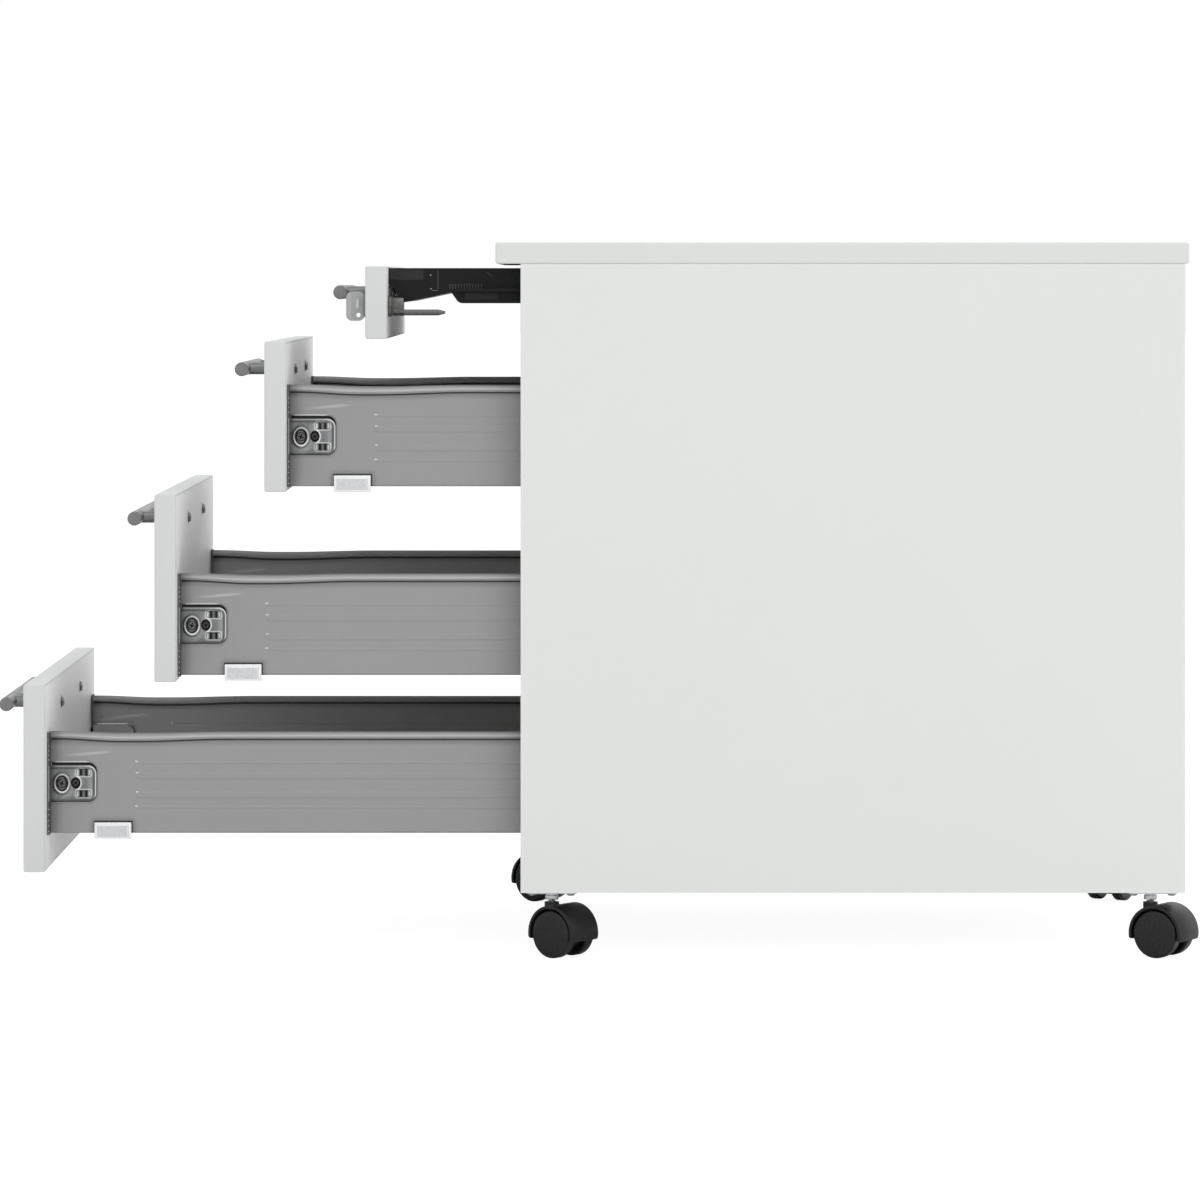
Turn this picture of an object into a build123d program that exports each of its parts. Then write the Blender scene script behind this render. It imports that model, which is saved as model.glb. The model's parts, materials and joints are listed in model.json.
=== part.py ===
"""Rolling file cabinet: a pen tray and three steel-sided drawers in a board carcass on twin-wheel casters.

Millimetres. +X is the cabinet's right side, the drawers open towards -Y, +Z is up.
The origin is on the floor, under the middle of the carcass.
The drawers are modelled where they stand in use, each one pulled out further than the one above.
"""
from build123d import *
from dataclasses import dataclass
import os

# Overall size and boards
overall_height = 600.0
top_width = 430.0
top_overhang = 21.0
top_rear_overhang = 3.0
top_edge_radius = 2.0
carcass_width = 428.0
runner_end_space = 56.0
carcass_clearance = 56.0
board = 18.0
panel_edge_radius = 1.0

# Drawer fronts, listed from the top down
front_width = 426.0
front_thickness = 18.0
front_gap = 2.0
front_buffer_gap = 2.0
front_edge_radius = 2.0
pen_front_height = 61.0
upper_front_height = 126.0
bottom_reveal = 17.0

# How far each drawer stands open
pen_extension = 110.0
upper_extension = 194.5
middle_extension = 286.4
lower_extension = 396.0

# Bar handles
handle_bar_radius = 6.0
handle_length = 224.0
handle_spacing = 160.0
handle_reach = 25.7
handle_drop = 25.0
pen_handle_drop = 22.0
handle_post_radius = 5.0
handle_end_radius = 0.8
screw_recess_radius = 5.0
screw_recess_depth = 6.0
screw_hole_radius = 2.5

# Steel drawer sides
steel = 1.2
side_length = 500.0
side_height = 86.0
side_clearance = 14.0
side_flange = 14.0
rim_radius = 2.9
rim_proud = 1.0
upper_side_lift = 3.5
middle_side_lift = 3.5
lower_side_lift = 29.4
bead_start = 73.4
bead_end = 462.0
wide_bead_height = 6.0
wide_bead_depth = 0.8
narrow_bead_height = 2.6
narrow_bead_depth = 0.6
wide_bead_levels = (32.5, 48.5)
narrow_bead_levels = (21.8, 59.6)

# Front brackets, set into a recess of each steel side
recess_end = 41.0
recess_low = 25.0
recess_high = 61.0
recess_depth = 4.0
recess_radius = 8.0
bracket_foot_thickness = 2.2
bracket_foot_width = 13.0
bracket_plate_thickness = 2.2
bracket_clearance = 0.6
bracket_rim_width = 1.4
bracket_rim_height = 0.7
bracket_pad_width = 11.0
bracket_pad_height = 15.0
bracket_pad_from_side = 8.4
bracket_boss_radius = 4.6
bracket_boss_bore = 2.6
bracket_boss_from_side = 20.4
bracket_bump_from_side = 27.5
bracket_bump_offset = 9.4
bracket_bump_length = 9.0
bracket_bump_height = 5.0
bracket_relief = 1.1

# Drawer boards
drawer_board = 16.0
drawer_board_gap = 0.3
back_below_rim = 6.0

# Lock catch clipped under the right steel side
catch_start = 39.0
catch_width = 31.0
catch_above = 9.5
catch_below = 4.2
catch_proud = 4.0
catch_foot = 1.5

# Roller runners
rail_steel = 1.2
rail_height = 22.0
rail_above_side = 14.0
rail_flange = 11.0
rail_inset = 2.0
rail_bracket_width = 24.0
rail_bracket_drop = 17.0
roller_play = 0.15
axial_play = 0.3
front_roller_radius = 10.0
front_roller_width = 9.0
front_roller_inset = 2.5
front_roller_from_edge = 14.0
front_pin_radius = 3.0
front_collar_radius = 4.5
rear_roller_width = 8.0
rear_roller_offset = 3.4
rear_roller_from_end = 12.0
rear_pin_radius = 2.5
pin_head_radius = 4.2
pin_head_thickness = 0.8
pin_play = 0.05
roller_edge_radius = 1.0

# Pen tray and its guides
tray_half_width = 174.0
tray_length = 350.0
tray_below_front = 1.5
tray_height = 29.7
tray_wall = 2.2
tray_lip = 12.0
tray_chin = 13.0
tray_chin_lift = 0.8
tray_hump = 53.0
tray_hump_lift = 9.2
tray_step_end = 59.5
tray_step_radius = 6.0
tray_runner_drop = 17.2
tray_runner_thickness = 2.5
tray_runner_width = 14.0
tray_runner_start = 57.0
tray_divider_thickness = 2.0
tray_divider_drop = 6.0
tray_cross_divider = 150.0
tray_long_divider = 60.0
guide_start = 54.0
guide_length = 300.0
guide_thickness = 15.0
guide_height = 12.0
guide_play = 0.3

# Lock in the pen drawer's front
lock_x = 184.0
lock_drop = 33.6
lock_barrel_radius = 8.0
lock_hole_play = 0.2
lock_bezel_radius = 10.0
lock_bezel_thickness = 1.5
lock_flange_radius = 9.0
lock_flange_thickness = 3.3
plug_radius = 6.0
plug_play = 0.05
cam_radius = 8.2
cam_thickness = 9.7
cam_gap = 0.3
cam_pin_radius = 2.5
cam_pin_length = 35.0
cam_pin_taper = 6.0
cam_pin_tip_radius = 1.0
cam_eccentricity = 5.3
keyway_width = 2.6
keyway_height = 7.0
keyway_depth = 19.0

# Key
key_play = 0.2
key_blade_length = 17.0
key_collar = 1.6
bow_thickness = 3.2
bow_height = 24.6
bow_depth = 15.4
bow_corner_radius = 5.0
bow_hole_radius = 1.8
bow_hole_drop = 7.4

# Locking bar in the right side panel
bar_width = 12.0
bar_thickness = 2.0
bar_groove_play = 0.5
tab_height = 12.0
tab_below_catch = 1.3
tab_side_gap = 1.2
tab_clearance = 0.6
arm_wall = 2.9
slot_play = 0.3

# Twin-wheel casters
wheel_radius = 20.0
wheel_width = 10.0
wheel_spacing = 24.5
wheel_edge_radius = 2.0
wheel_cap_thickness = 1.6
axle_radius = 3.0
axle_play = 0.05
axle_end_gap = 0.4
hood_radius = 24.0
hood_wall = 2.4
hood_web = 13.4
hood_web_radius = 15.0
hood_skirt = 5.0
hood_corner_radius = 2.5
hood_neck_radius = 6.2
hood_neck_rise = 25.0
caster_trail = 12.5
caster_plate_size = 42.0
caster_plate_thickness = 2.0
caster_plate_radius = 4.0
caster_screw_spacing = 32.0
caster_screw_radius = 2.2
kingpin_radius = 3.0
kingpin_end = 35.0
kingpin_play = 0.05
kingpin_nut_radius = 5.6
kingpin_nut_thickness = 3.4
kingpin_collar_radius = 4.7
kingpin_collar_height = 3.4
caster_from_side = 30.0
caster_from_front = 26.0
caster_from_back = 26.0
caster_swivel = {
    "right_front": 50.0,
    "right_rear": 55.5,
    "left_front": -127.0,
    "left_rear": 150.0,
}

# Levels and faces that follow from the sizes above
carcass_depth = side_length + runner_end_space
top_depth = carcass_depth + top_overhang + top_rear_overhang
top_underside = overall_height - board
panel_inner_x = carcass_width / 2 - board
carcass_front_y = -carcass_depth / 2
carcass_rear_y = carcass_depth / 2
closed_y = carcass_front_y - front_buffer_gap
side_outer_x = panel_inner_x - side_clearance
side_inner_x = side_outer_x - steel
front_pin_y = carcass_front_y + front_roller_from_edge
front_pin_drop = front_roller_radius + roller_play
rail_inner_x = panel_inner_x - rail_steel
rear_pin_lift = rail_above_side + rail_height / 2
rear_roller_radius = rail_height / 2 - rail_steel - roller_play
tab_rear_y = closed_y + catch_start - tab_clearance
pen_front_top = top_underside - front_gap
lock_z = pen_front_top - lock_drop
cam_pin_z = lock_z - cam_eccentricity
pen_y = closed_y - pen_extension
tray_top = pen_front_top - tray_below_front
tray_bottom = tray_top - tray_height
tray_runner_z = tray_top - tray_runner_drop
front_floor = carcass_clearance + bottom_reveal
deep_front_space = pen_front_top - pen_front_height - upper_front_height - front_floor
deep_front_height = (deep_front_space - 3 * front_gap) / 2


@dataclass(frozen=True)
class Drawer:
    """One steel-sided drawer: its name, its front's span in Z, its side's lower edge and its opening."""

    name: str
    front_low: float
    front_high: float
    side_low: float
    extension: float

    @property
    def front_y(self):
        """Y of the front's inner face."""
        return closed_y - self.extension

    @property
    def place(self):
        """Carries a shape from the drawer's own frame, whose Z is 0 at the side's lower edge."""
        return Pos(0, self.front_y, self.side_low)


def stack_drawers():
    """Set the three steel-sided drawers below the pen drawer, with equal gaps between the fronts."""
    rows = (
        ("upper", upper_front_height, upper_side_lift, upper_extension),
        ("middle", deep_front_height, middle_side_lift, middle_extension),
        ("lower", deep_front_height, lower_side_lift, lower_extension),
    )
    drawers = []
    top = pen_front_top - pen_front_height - front_gap
    for name, height, lift, extension in rows:
        low = top - height
        drawers.append(Drawer(name, low, top, low + lift, extension))
        top = low - front_gap
    return drawers


def block(x_span, y_span, z_span):
    """Rectangular solid between two values on each axis."""
    spans = (x_span, y_span, z_span)
    sizes = [high - low for low, high in spans]
    middle = [(high + low) / 2 for low, high in spans]
    return Pos(*middle) * Box(*sizes)


def rod(axis, radius, span, first, second):
    """Cylinder along one axis between two values, at the other two coordinates in X, Y, Z order."""
    low, high = span
    middle = (low + high) / 2
    places = {
        "x": Pos(middle, first, second) * Rot(0, 90, 0),
        "y": Pos(first, middle, second) * Rot(90, 0, 0),
        "z": Pos(first, second, middle),
    }
    return places[axis] * Cylinder(radius, high - low)


def mirrored(shape):
    """The same piece for the cabinet's left side."""
    return mirror(shape, about=Plane.YZ)


def pair(shape):
    """A right-hand piece with its left-hand twin, as two separate solids."""
    return Compound(children=[shape, mirrored(shape)])


def outline(points):
    """Closed face from a list of corners."""
    return make_face(Polyline(*points, close=True))


def top_panel():
    """Top board, which covers the fronts and has rounded edges all round."""
    front = carcass_front_y - top_overhang
    panel = block(
        (-top_width / 2, top_width / 2),
        (front, front + top_depth),
        (top_underside, overall_height),
    )
    return fillet(panel.edges(), top_edge_radius)


def side_panel():
    """Right side board, with its front and rear edges eased."""
    panel = block(
        (panel_inner_x, carcass_width / 2),
        (carcass_front_y, carcass_rear_y),
        (carcass_clearance, top_underside),
    )
    outer = panel.edges().filter_by(Axis.Z).group_by(Axis.X)[-1]
    return fillet(outer, panel_edge_radius)


def bar_span_y():
    """Front and rear of the locking bar."""
    return tab_rear_y - bar_width, tab_rear_y


def grooved_side_panel(drawers):
    """Right side board with the groove that the locking bar slides in, open at the top."""
    front, rear = bar_span_y()
    groove = block(
        (panel_inner_x, panel_inner_x + bar_thickness + 2 * bar_groove_play),
        (front - bar_groove_play, rear + bar_groove_play),
        (tab_low(drawers[-1]) - bar_groove_play, top_underside),
    )
    return side_panel() - groove


def bottom_panel():
    """Board between the side panels, above the casters."""
    return block(
        (-panel_inner_x, panel_inner_x),
        (carcass_front_y, carcass_rear_y),
        (carcass_clearance, carcass_clearance + board),
    )


def back_panel():
    """Board that closes the back, between the side panels."""
    return block(
        (-panel_inner_x, panel_inner_x),
        (carcass_rear_y - board, carcass_rear_y),
        (carcass_clearance + board, top_underside),
    )


def front_board(y, low, high, drop):
    """Drawer front with rounded outer edges, and two recessed screw holes a given drop below its top."""
    panel = block(
        (-front_width / 2, front_width / 2),
        (y - front_thickness, y),
        (low, high),
    )
    panel = fillet(panel.faces().sort_by(Axis.Y)[0].edges(), front_edge_radius)
    z = high - drop
    for x in (-handle_spacing / 2, handle_spacing / 2):
        panel -= rod("y", screw_hole_radius, (y - front_thickness, y), x, z)
        panel -= rod("y", screw_recess_radius, (y - screw_recess_depth, y), x, z)
    return panel


def handle(y, z):
    """Round bar on two posts, in front of a drawer front."""
    face = y - front_thickness
    bar_y = face - handle_reach
    bar = rod("x", handle_bar_radius, (-handle_length / 2, handle_length / 2), bar_y, z)
    shape = fillet(bar.edges().filter_by(GeomType.CIRCLE), handle_end_radius)
    for x in (-handle_spacing / 2, handle_spacing / 2):
        shape += rod("y", handle_post_radius, (bar_y, face), x, z)
    return shape


def slot_sketch(level, height):
    """Long slot with round ends on the plane of a steel side, at one level above its lower edge."""
    length = bead_end - bead_start
    return Pos((bead_start + bead_end) / 2, level) * SlotOverall(length, height)


def bead(plane_x, level, height, depth):
    """Shallow pressed bead that stands out towards +X from a plane."""
    sketch = Plane.YZ.offset(plane_x) * slot_sketch(level, height)
    return extrude(sketch, amount=depth, taper=45)


def side_profile():
    """Section of a steel side: wall, rolled top rim, and a lower edge folded in under the base."""
    rim_x = side_outer_x + rim_proud - rim_radius
    rim_z = side_height - rim_radius
    wall = Pos(side_outer_x - steel / 2, rim_z / 2) * Rectangle(steel, rim_z)
    fold = Pos(side_outer_x - side_flange / 2, steel / 2) * Rectangle(side_flange, steel)
    rim = Pos(rim_x, rim_z) * Circle(rim_radius)
    hollow = Pos(rim_x, rim_z) * Circle(rim_radius - steel)
    return wall + fold + rim - hollow


def recess_block(grow, x_span):
    """Block of the bracket's recess, open to the front, with rounded rear corners."""
    start = bracket_foot_thickness
    shape = block(
        x_span,
        (start, recess_end + grow),
        (recess_low - grow, recess_high + grow),
    )
    rear = shape.edges().filter_by(Axis.X).group_by(Axis.Y)[-1]
    return fillet(rear, recess_radius + grow)


def steel_side():
    """Right drawer side in the drawer's own frame: sheet with beads, a recess and the rear roller's pin."""
    front = bracket_foot_thickness
    body = extrude(Plane.XZ.offset(-front) * side_profile(), amount=front - side_length)
    body += recess_block(steel, (side_inner_x - recess_depth, side_inner_x))
    body -= recess_block(0, (side_outer_x - recess_depth, side_outer_x))
    sizes = [(level, wide_bead_height, wide_bead_depth) for level in wide_bead_levels]
    sizes += [(level, narrow_bead_height, narrow_bead_depth) for level in narrow_bead_levels]
    for level, height, depth in sizes:
        body += bead(side_outer_x, level, height, depth)
        body -= bead(side_inner_x, level, height, depth)
    return body + rear_pin()


def rear_pin():
    """Riveted pin for the rear roller, with a shoulder and a head."""
    y = side_length - rear_roller_from_end
    roller_start = side_outer_x + rear_roller_offset
    roller_end = roller_start + rear_roller_width
    head_start = roller_end + axial_play
    pin = rod("x", rear_pin_radius, (side_inner_x, head_start + pin_head_thickness), y, rear_pin_lift)
    pin += rod("x", pin_head_radius, (side_inner_x, roller_start - axial_play), y, rear_pin_lift)
    return pin + rod("x", pin_head_radius, (head_start, head_start + pin_head_thickness), y, rear_pin_lift)


def roller(radius, width, bore, centre):
    """Nylon roller with rounded rims, turning about X."""
    wheel = Rot(0, 90, 0) * Cylinder(radius, width)
    wheel = fillet(wheel.edges().filter_by(GeomType.CIRCLE), roller_edge_radius)
    return Pos(*centre) * (wheel - Rot(0, 90, 0) * Cylinder(bore, width))


def rear_rollers(drawer):
    """The two rollers at the rear ends of the drawer's sides."""
    x = side_outer_x + rear_roller_offset + rear_roller_width / 2
    y = drawer.front_y + side_length - rear_roller_from_end
    z = drawer.side_low + rear_pin_lift
    return pair(roller(rear_roller_radius, rear_roller_width, rear_pin_radius + pin_play, (x, y, z)))


def front_roller_span():
    """Inner and outer face of the front roller, which carries the fold of the drawer side."""
    outer = side_outer_x - front_roller_inset
    return outer - front_roller_width, outer


def front_rollers(drawer):
    """The two rollers at the carcass's front edge, under the drawer's sides."""
    inner, outer = front_roller_span()
    z = drawer.side_low - front_pin_drop
    centre = ((inner + outer) / 2, front_pin_y, z)
    return pair(roller(front_roller_radius, front_roller_width, front_pin_radius + pin_play, centre))


def runner_rail(drawer):
    """Right runner: a channel for the rear roller, and a bracket with the front roller's pin."""
    low = drawer.side_low + rail_above_side
    start = carcass_front_y + rail_inset
    run = (start, start + side_length)
    flange_x = panel_inner_x - rail_flange
    rail = block((flange_x, panel_inner_x), run, (low, low + rail_height))
    rail -= block((flange_x, rail_inner_x), run, (low + rail_steel, low + rail_height - rail_steel))
    rail += block(
        (rail_inner_x, panel_inner_x),
        (start, start + rail_bracket_width),
        (drawer.side_low - rail_bracket_drop, low),
    )
    return rail + front_pin(drawer.side_low - front_pin_drop)


def front_pin(z):
    """Stepped pin of a runner's bracket, with a head that keeps the front roller on."""
    inner, outer = front_roller_span()
    head = (inner - axial_play - pin_head_thickness, inner - axial_play)
    pin = rod("x", front_pin_radius, (head[0], panel_inner_x), front_pin_y, z)
    pin += rod("x", front_collar_radius, (outer + axial_play, panel_inner_x), front_pin_y, z)
    return pin + rod("x", pin_head_radius, head, front_pin_y, z)


def bracket_outline(inset):
    """Outline of the bracket's plate inside the recess, drawn in Y and Z and smaller by an inset."""
    gap = bracket_clearance + inset
    start = bracket_foot_thickness / 2 + inset
    end = recess_end - gap
    low, high = recess_low + gap, recess_high - gap
    face = Pos((start + end) / 2, (low + high) / 2) * Rectangle(end - start, high - low)
    return fillet(face.vertices().group_by(Axis.X)[-1], recess_radius - gap)


def front_bracket():
    """Right front bracket: a foot turned outwards on the front, and a ribbed plate in the side's recess."""
    floor_x = side_outer_x - recess_depth
    face_x = floor_x + bracket_plate_thickness
    middle = (recess_low + recess_high) / 2
    side_start = bracket_foot_thickness
    foot_x = side_outer_x + bracket_foot_width
    foot = block((side_outer_x, foot_x), (0, side_start), (0, side_height))
    foot += block((floor_x, foot_x), (0, side_start), (recess_low, recess_high))
    plane = Plane.YZ.offset(floor_x)
    body = foot + extrude(plane * bracket_outline(0), amount=bracket_plate_thickness)
    rim = bracket_outline(0) - bracket_outline(bracket_rim_width)
    body += extrude(plane * rim, amount=bracket_plate_thickness + bracket_rim_height)
    relief = (face_x - bracket_clearance, face_x + bracket_relief)
    pad = Ellipse(bracket_pad_width / 2, bracket_pad_height / 2)
    pad = Pos(side_start + bracket_pad_from_side, middle) * pad
    body += extrude(plane * pad, amount=bracket_plate_thickness + bracket_relief)
    body += rod("x", bracket_boss_radius, relief, side_start + bracket_boss_from_side, middle)
    for z in (middle - bracket_bump_offset, middle + bracket_bump_offset):
        y = side_start + bracket_bump_from_side
        body += block(
            relief,
            (y - bracket_bump_length / 2, y + bracket_bump_length / 2),
            (z - bracket_bump_height / 2, z + bracket_bump_height / 2),
        )
    bore = (floor_x, face_x + bracket_relief)
    return body - rod("x", bracket_boss_bore, bore, side_start + bracket_boss_from_side, middle)


def catch():
    """Folded catch on the right side's outer face, hooked under its lower edge."""
    outer = side_outer_x + catch_proud
    along = (catch_start, catch_start + catch_width)
    clip = block((side_outer_x, side_outer_x + steel), along, (steel, catch_above))
    clip += block((side_outer_x, outer), along, (catch_above - steel, catch_above))
    clip += block((outer - steel, outer), along, (-catch_below, catch_above))
    clip += block((side_outer_x - catch_foot, outer), along, (-catch_below, steel - catch_below))
    corners = clip.edges().filter_by(Axis.Y).group_by(Axis.X)[-1]
    return fillet(corners, steel / 2)


def drawer_base():
    """Board on the folds of the steel sides, from the front to the back board."""
    half = side_inner_x - drawer_board_gap
    return block((-half, half), (0, side_length - drawer_board), (steel, steel + drawer_board))


def drawer_back():
    """Board across the rear ends of the steel sides, behind the base."""
    half = side_inner_x - drawer_board_gap
    return block(
        (-half, half),
        (side_length - drawer_board, side_length),
        (steel, side_height - back_below_rim),
    )


def tray_outline(inset):
    """Side outline of the pen tray, behind the front and above the tray's bottom, at one depth of wall."""
    top = tray_height + inset
    lip = tray_height - tray_lip
    points = (
        (inset, top),
        (inset, lip + inset),
        (tray_chin, tray_chin_lift + inset),
        (tray_hump, tray_hump_lift + inset),
        (tray_step_end + inset, inset),
        (tray_length - inset, inset),
        (tray_length - inset, top),
    )
    face = outline(points)
    foot = face.vertices().sort_by_distance(Vector(tray_step_end + inset, inset))[0]
    return fillet(foot, tray_step_radius)


def tray_slab(inset, half_width):
    """Block of the pen tray's outline across the drawer, in the cabinet's frame."""
    plane = Plane(origin=(-half_width, pen_y, tray_bottom), x_dir=(0, 1, 0), z_dir=(1, 0, 0))
    return extrude(plane * tray_outline(inset), amount=2 * half_width)


def pen_tray():
    """Moulded tray with a shallow pen trough behind the front, and dividers."""
    inner = tray_half_width - tray_wall
    tray = tray_slab(0, tray_half_width) - tray_slab(tray_wall, inner)
    rear = pen_y + tray_length - tray_wall / 2
    cross = pen_y + tray_cross_divider
    levels = (tray_bottom + tray_wall / 2, tray_top - tray_divider_drop)
    edges = (-inner - tray_wall / 2, inner + tray_wall / 2)
    tray += block(edges, (cross, cross + tray_divider_thickness), levels)
    for x in (-tray_long_divider, tray_long_divider):
        half = tray_divider_thickness / 2
        tray += block((x - half, x + half), (cross, rear), levels)
    return tray


def tray_runner():
    """Right runner of the pen tray, a flat strip along its side wall."""
    return block(
        (tray_half_width, tray_half_width + tray_runner_width),
        (pen_y + tray_runner_start, pen_y + tray_length),
        (tray_runner_z - tray_runner_thickness, tray_runner_z),
    )


def tray_guide():
    """Right plastic guide, a strip on the side panel with a groove for the tray's runner."""
    start = closed_y + guide_start
    run = (start, start + guide_length)
    middle = tray_runner_z - tray_runner_thickness / 2
    inner = panel_inner_x - guide_thickness
    reach = tray_half_width + tray_runner_width + guide_play
    strip = block((inner, panel_inner_x), run, (middle - guide_height / 2, middle + guide_height / 2))
    half = tray_runner_thickness / 2 + guide_play
    return strip - block((inner, reach), run, (middle - half, middle + half))


def pen_front():
    """Front of the pen drawer, bored for the lock."""
    face = pen_y - front_thickness
    panel = front_board(pen_y, pen_front_top - pen_front_height, pen_front_top, pen_handle_drop)
    return panel - rod("y", lock_barrel_radius + lock_hole_play, (face, pen_y), lock_x, lock_z)


def lock_housing():
    """Lock barrel through the pen front, with a bezel outside and a flange inside."""
    face = pen_y - front_thickness
    bezel = face - lock_bezel_thickness
    rear = pen_y + lock_flange_thickness
    body = rod("y", lock_barrel_radius, (bezel, rear), lock_x, lock_z)
    body += rod("y", lock_bezel_radius, (bezel, face), lock_x, lock_z)
    body += rod("y", lock_flange_radius, (pen_y, rear), lock_x, lock_z)
    return body - rod("y", plug_radius + plug_play, (bezel, rear), lock_x, lock_z)


def lock_cam():
    """Plug with a keyway, a disc behind the housing and an eccentric pin with a tapered tip."""
    bezel = pen_y - front_thickness - lock_bezel_thickness
    disc = pen_y + lock_flange_thickness + cam_gap
    disc_rear = disc + cam_thickness
    tip = disc_rear + cam_pin_length
    body = rod("y", plug_radius, (bezel, disc), lock_x, lock_z)
    body += rod("y", cam_radius, (disc, disc_rear), lock_x, lock_z)
    body += rod("y", cam_pin_radius, (disc, tip - cam_pin_taper), lock_x, cam_pin_z)
    taper = Cone(cam_pin_radius, cam_pin_tip_radius, cam_pin_taper)
    body += Pos(lock_x, tip - cam_pin_taper / 2, cam_pin_z) * Rot(-90, 0, 0) * taper
    return body - block(
        (lock_x - keyway_width / 2, lock_x + keyway_width / 2),
        (bezel, bezel + keyway_depth),
        (lock_z - keyway_height / 2, lock_z + keyway_height / 2),
    )


def key():
    """Key with its blade in the plug and a flat moulded bow with a ring hole."""
    bezel = pen_y - front_thickness - lock_bezel_thickness
    bow_rear = bezel - key_play
    blade_half = keyway_width / 2 - key_play
    blade_rise = keyway_height / 2 - key_play
    blade = block(
        (lock_x - blade_half, lock_x + blade_half),
        (bow_rear - key_collar, bezel + key_blade_length),
        (lock_z - blade_rise, lock_z + blade_rise),
    )
    bow = block(
        (lock_x - bow_thickness / 2, lock_x + bow_thickness / 2),
        (bow_rear - bow_depth, bow_rear),
        (lock_z - bow_height / 2, lock_z + bow_height / 2),
    )
    bow = fillet(bow.edges().filter_by(Axis.X), bow_corner_radius)
    hole_y = bow_rear - bow_depth / 3
    span = (lock_x - bow_thickness / 2, lock_x + bow_thickness / 2)
    return bow + blade - rod("x", bow_hole_radius, span, hole_y, lock_z - bow_hole_drop)


def tab_low(drawer):
    """Lower end of the locking bar's tab for one drawer, with the bar down and the drawers free."""
    return drawer.side_low - catch_below - tab_below_catch - tab_height


def locking_bar(drawers):
    """Flat bar in the panel's groove, a tab for each catch and an arm with a slot for the lock's pin."""
    front, rear = bar_span_y()
    bar_x = (panel_inner_x + bar_groove_play, panel_inner_x + bar_groove_play + bar_thickness)
    slot_half = cam_pin_radius + slot_play
    arm_z = (cam_pin_z - slot_half - arm_wall, cam_pin_z + slot_half + arm_wall)
    plate_y = (rear - bar_thickness, rear)
    shape = block(bar_x, (front, rear), (tab_low(drawers[-1]), arm_z[1]))
    for drawer in drawers:
        low = tab_low(drawer)
        shape += block((side_outer_x + tab_side_gap, bar_x[1]), plate_y, (low, low + tab_height))
    slot_x = (lock_x - slot_half, lock_x + cam_eccentricity + slot_half)
    shape += block((slot_x[0] - arm_wall, bar_x[1]), plate_y, arm_z)
    return shape - block(slot_x, plate_y, (cam_pin_z - slot_half, cam_pin_z + slot_half))


def caster_places():
    """Stem position and swivel angle of each caster."""
    x = carcass_width / 2 - caster_from_side
    columns = {"right": x, "left": -x}
    rows = {"front": carcass_front_y + caster_from_front, "rear": carcass_rear_y - caster_from_back}
    places = {}
    for column, stem_x in columns.items():
        for row, stem_y in rows.items():
            name = f"{column}_{row}"
            places[name] = (stem_x, stem_y, caster_swivel[name])
    return places


def caster_frame(place):
    """Carries a shape from a caster's own frame: stem on Z, wheels trailing towards +X, axle along Y."""
    stem_x, stem_y, angle = place
    return Pos(stem_x, stem_y, 0) * Rot(0, 0, angle)


def caster_plates():
    """The four fixing plates, each with its kingpin, collar and nut, as separate solids."""
    top = carcass_clearance
    low = top - caster_plate_thickness
    half = caster_plate_size / 2
    plate = block((-half, half), (-half, half), (low, top))
    plate = fillet(plate.edges().filter_by(Axis.Z), caster_plate_radius)
    hole = caster_screw_spacing / 2
    for x in (-hole, hole):
        for y in (-hole, hole):
            plate -= rod("z", caster_screw_radius, (low, top), x, y)
    plate += rod("z", kingpin_radius, (kingpin_end, low), 0, 0)
    nut_top = low - kingpin_collar_height
    plate += rod("z", kingpin_collar_radius, (nut_top, low), 0, 0)
    plate += rod("z", kingpin_nut_radius, (nut_top - kingpin_nut_thickness, nut_top), 0, 0)
    return Compound(children=[Pos(place[0], place[1], 0) * plate for place in caster_places().values()])


def hood_round(radius):
    """Disc about the axle, as a sketch in the plane of the caster's trail."""
    return Pos(caster_trail, wheel_radius) * Circle(radius)


def caster_hood():
    """Fork web between the wheels, half-round fender over them, neck for the kingpin, and axle ends."""
    neck_top = wheel_radius + hood_neck_rise
    half_width = wheel_spacing / 2 + wheel_width / 2
    rise = hood_radius + hood_skirt
    above = Pos(caster_trail, wheel_radius - hood_skirt + rise / 2) * Rectangle(2 * hood_radius, rise)
    plane = Plane.XZ.offset(-half_width)
    ring = hood_round(hood_radius) - hood_round(hood_radius - hood_wall)
    fender = extrude(plane * (ring & above), amount=2 * half_width)
    fender = fillet(fender.edges().filter_by(Axis.X), hood_corner_radius)
    web_sketch = hood_round(hood_web_radius) + (hood_round(hood_radius - hood_wall / 2) & above)
    web = extrude(Plane.XZ.offset(-hood_web / 2) * web_sketch, amount=hood_web)
    neck = rod("z", hood_neck_radius, (wheel_radius + hood_neck_radius, neck_top), 0, 0)
    neck -= extrude(plane * hood_round(hood_radius - hood_wall / 2), amount=2 * half_width)
    body = fender + web + neck
    axle_half = half_width - wheel_cap_thickness - axle_end_gap
    body += rod("y", axle_radius, (-axle_half, axle_half), caster_trail, wheel_radius)
    bore = (kingpin_end - kingpin_play, neck_top)
    return body - rod("z", kingpin_radius + kingpin_play, bore, 0, 0)


def caster_wheel():
    """Wheel with a rounded tread and a closed outer face, its own axis along Z and outer face up."""
    half = wheel_width / 2
    wheel = Cylinder(wheel_radius, wheel_width)
    wheel = fillet(wheel.edges().filter_by(GeomType.CIRCLE), wheel_edge_radius)
    bore = wheel_width - wheel_cap_thickness
    return wheel - Pos(0, 0, -half + bore / 2) * Cylinder(axle_radius + axle_play, bore)


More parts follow.
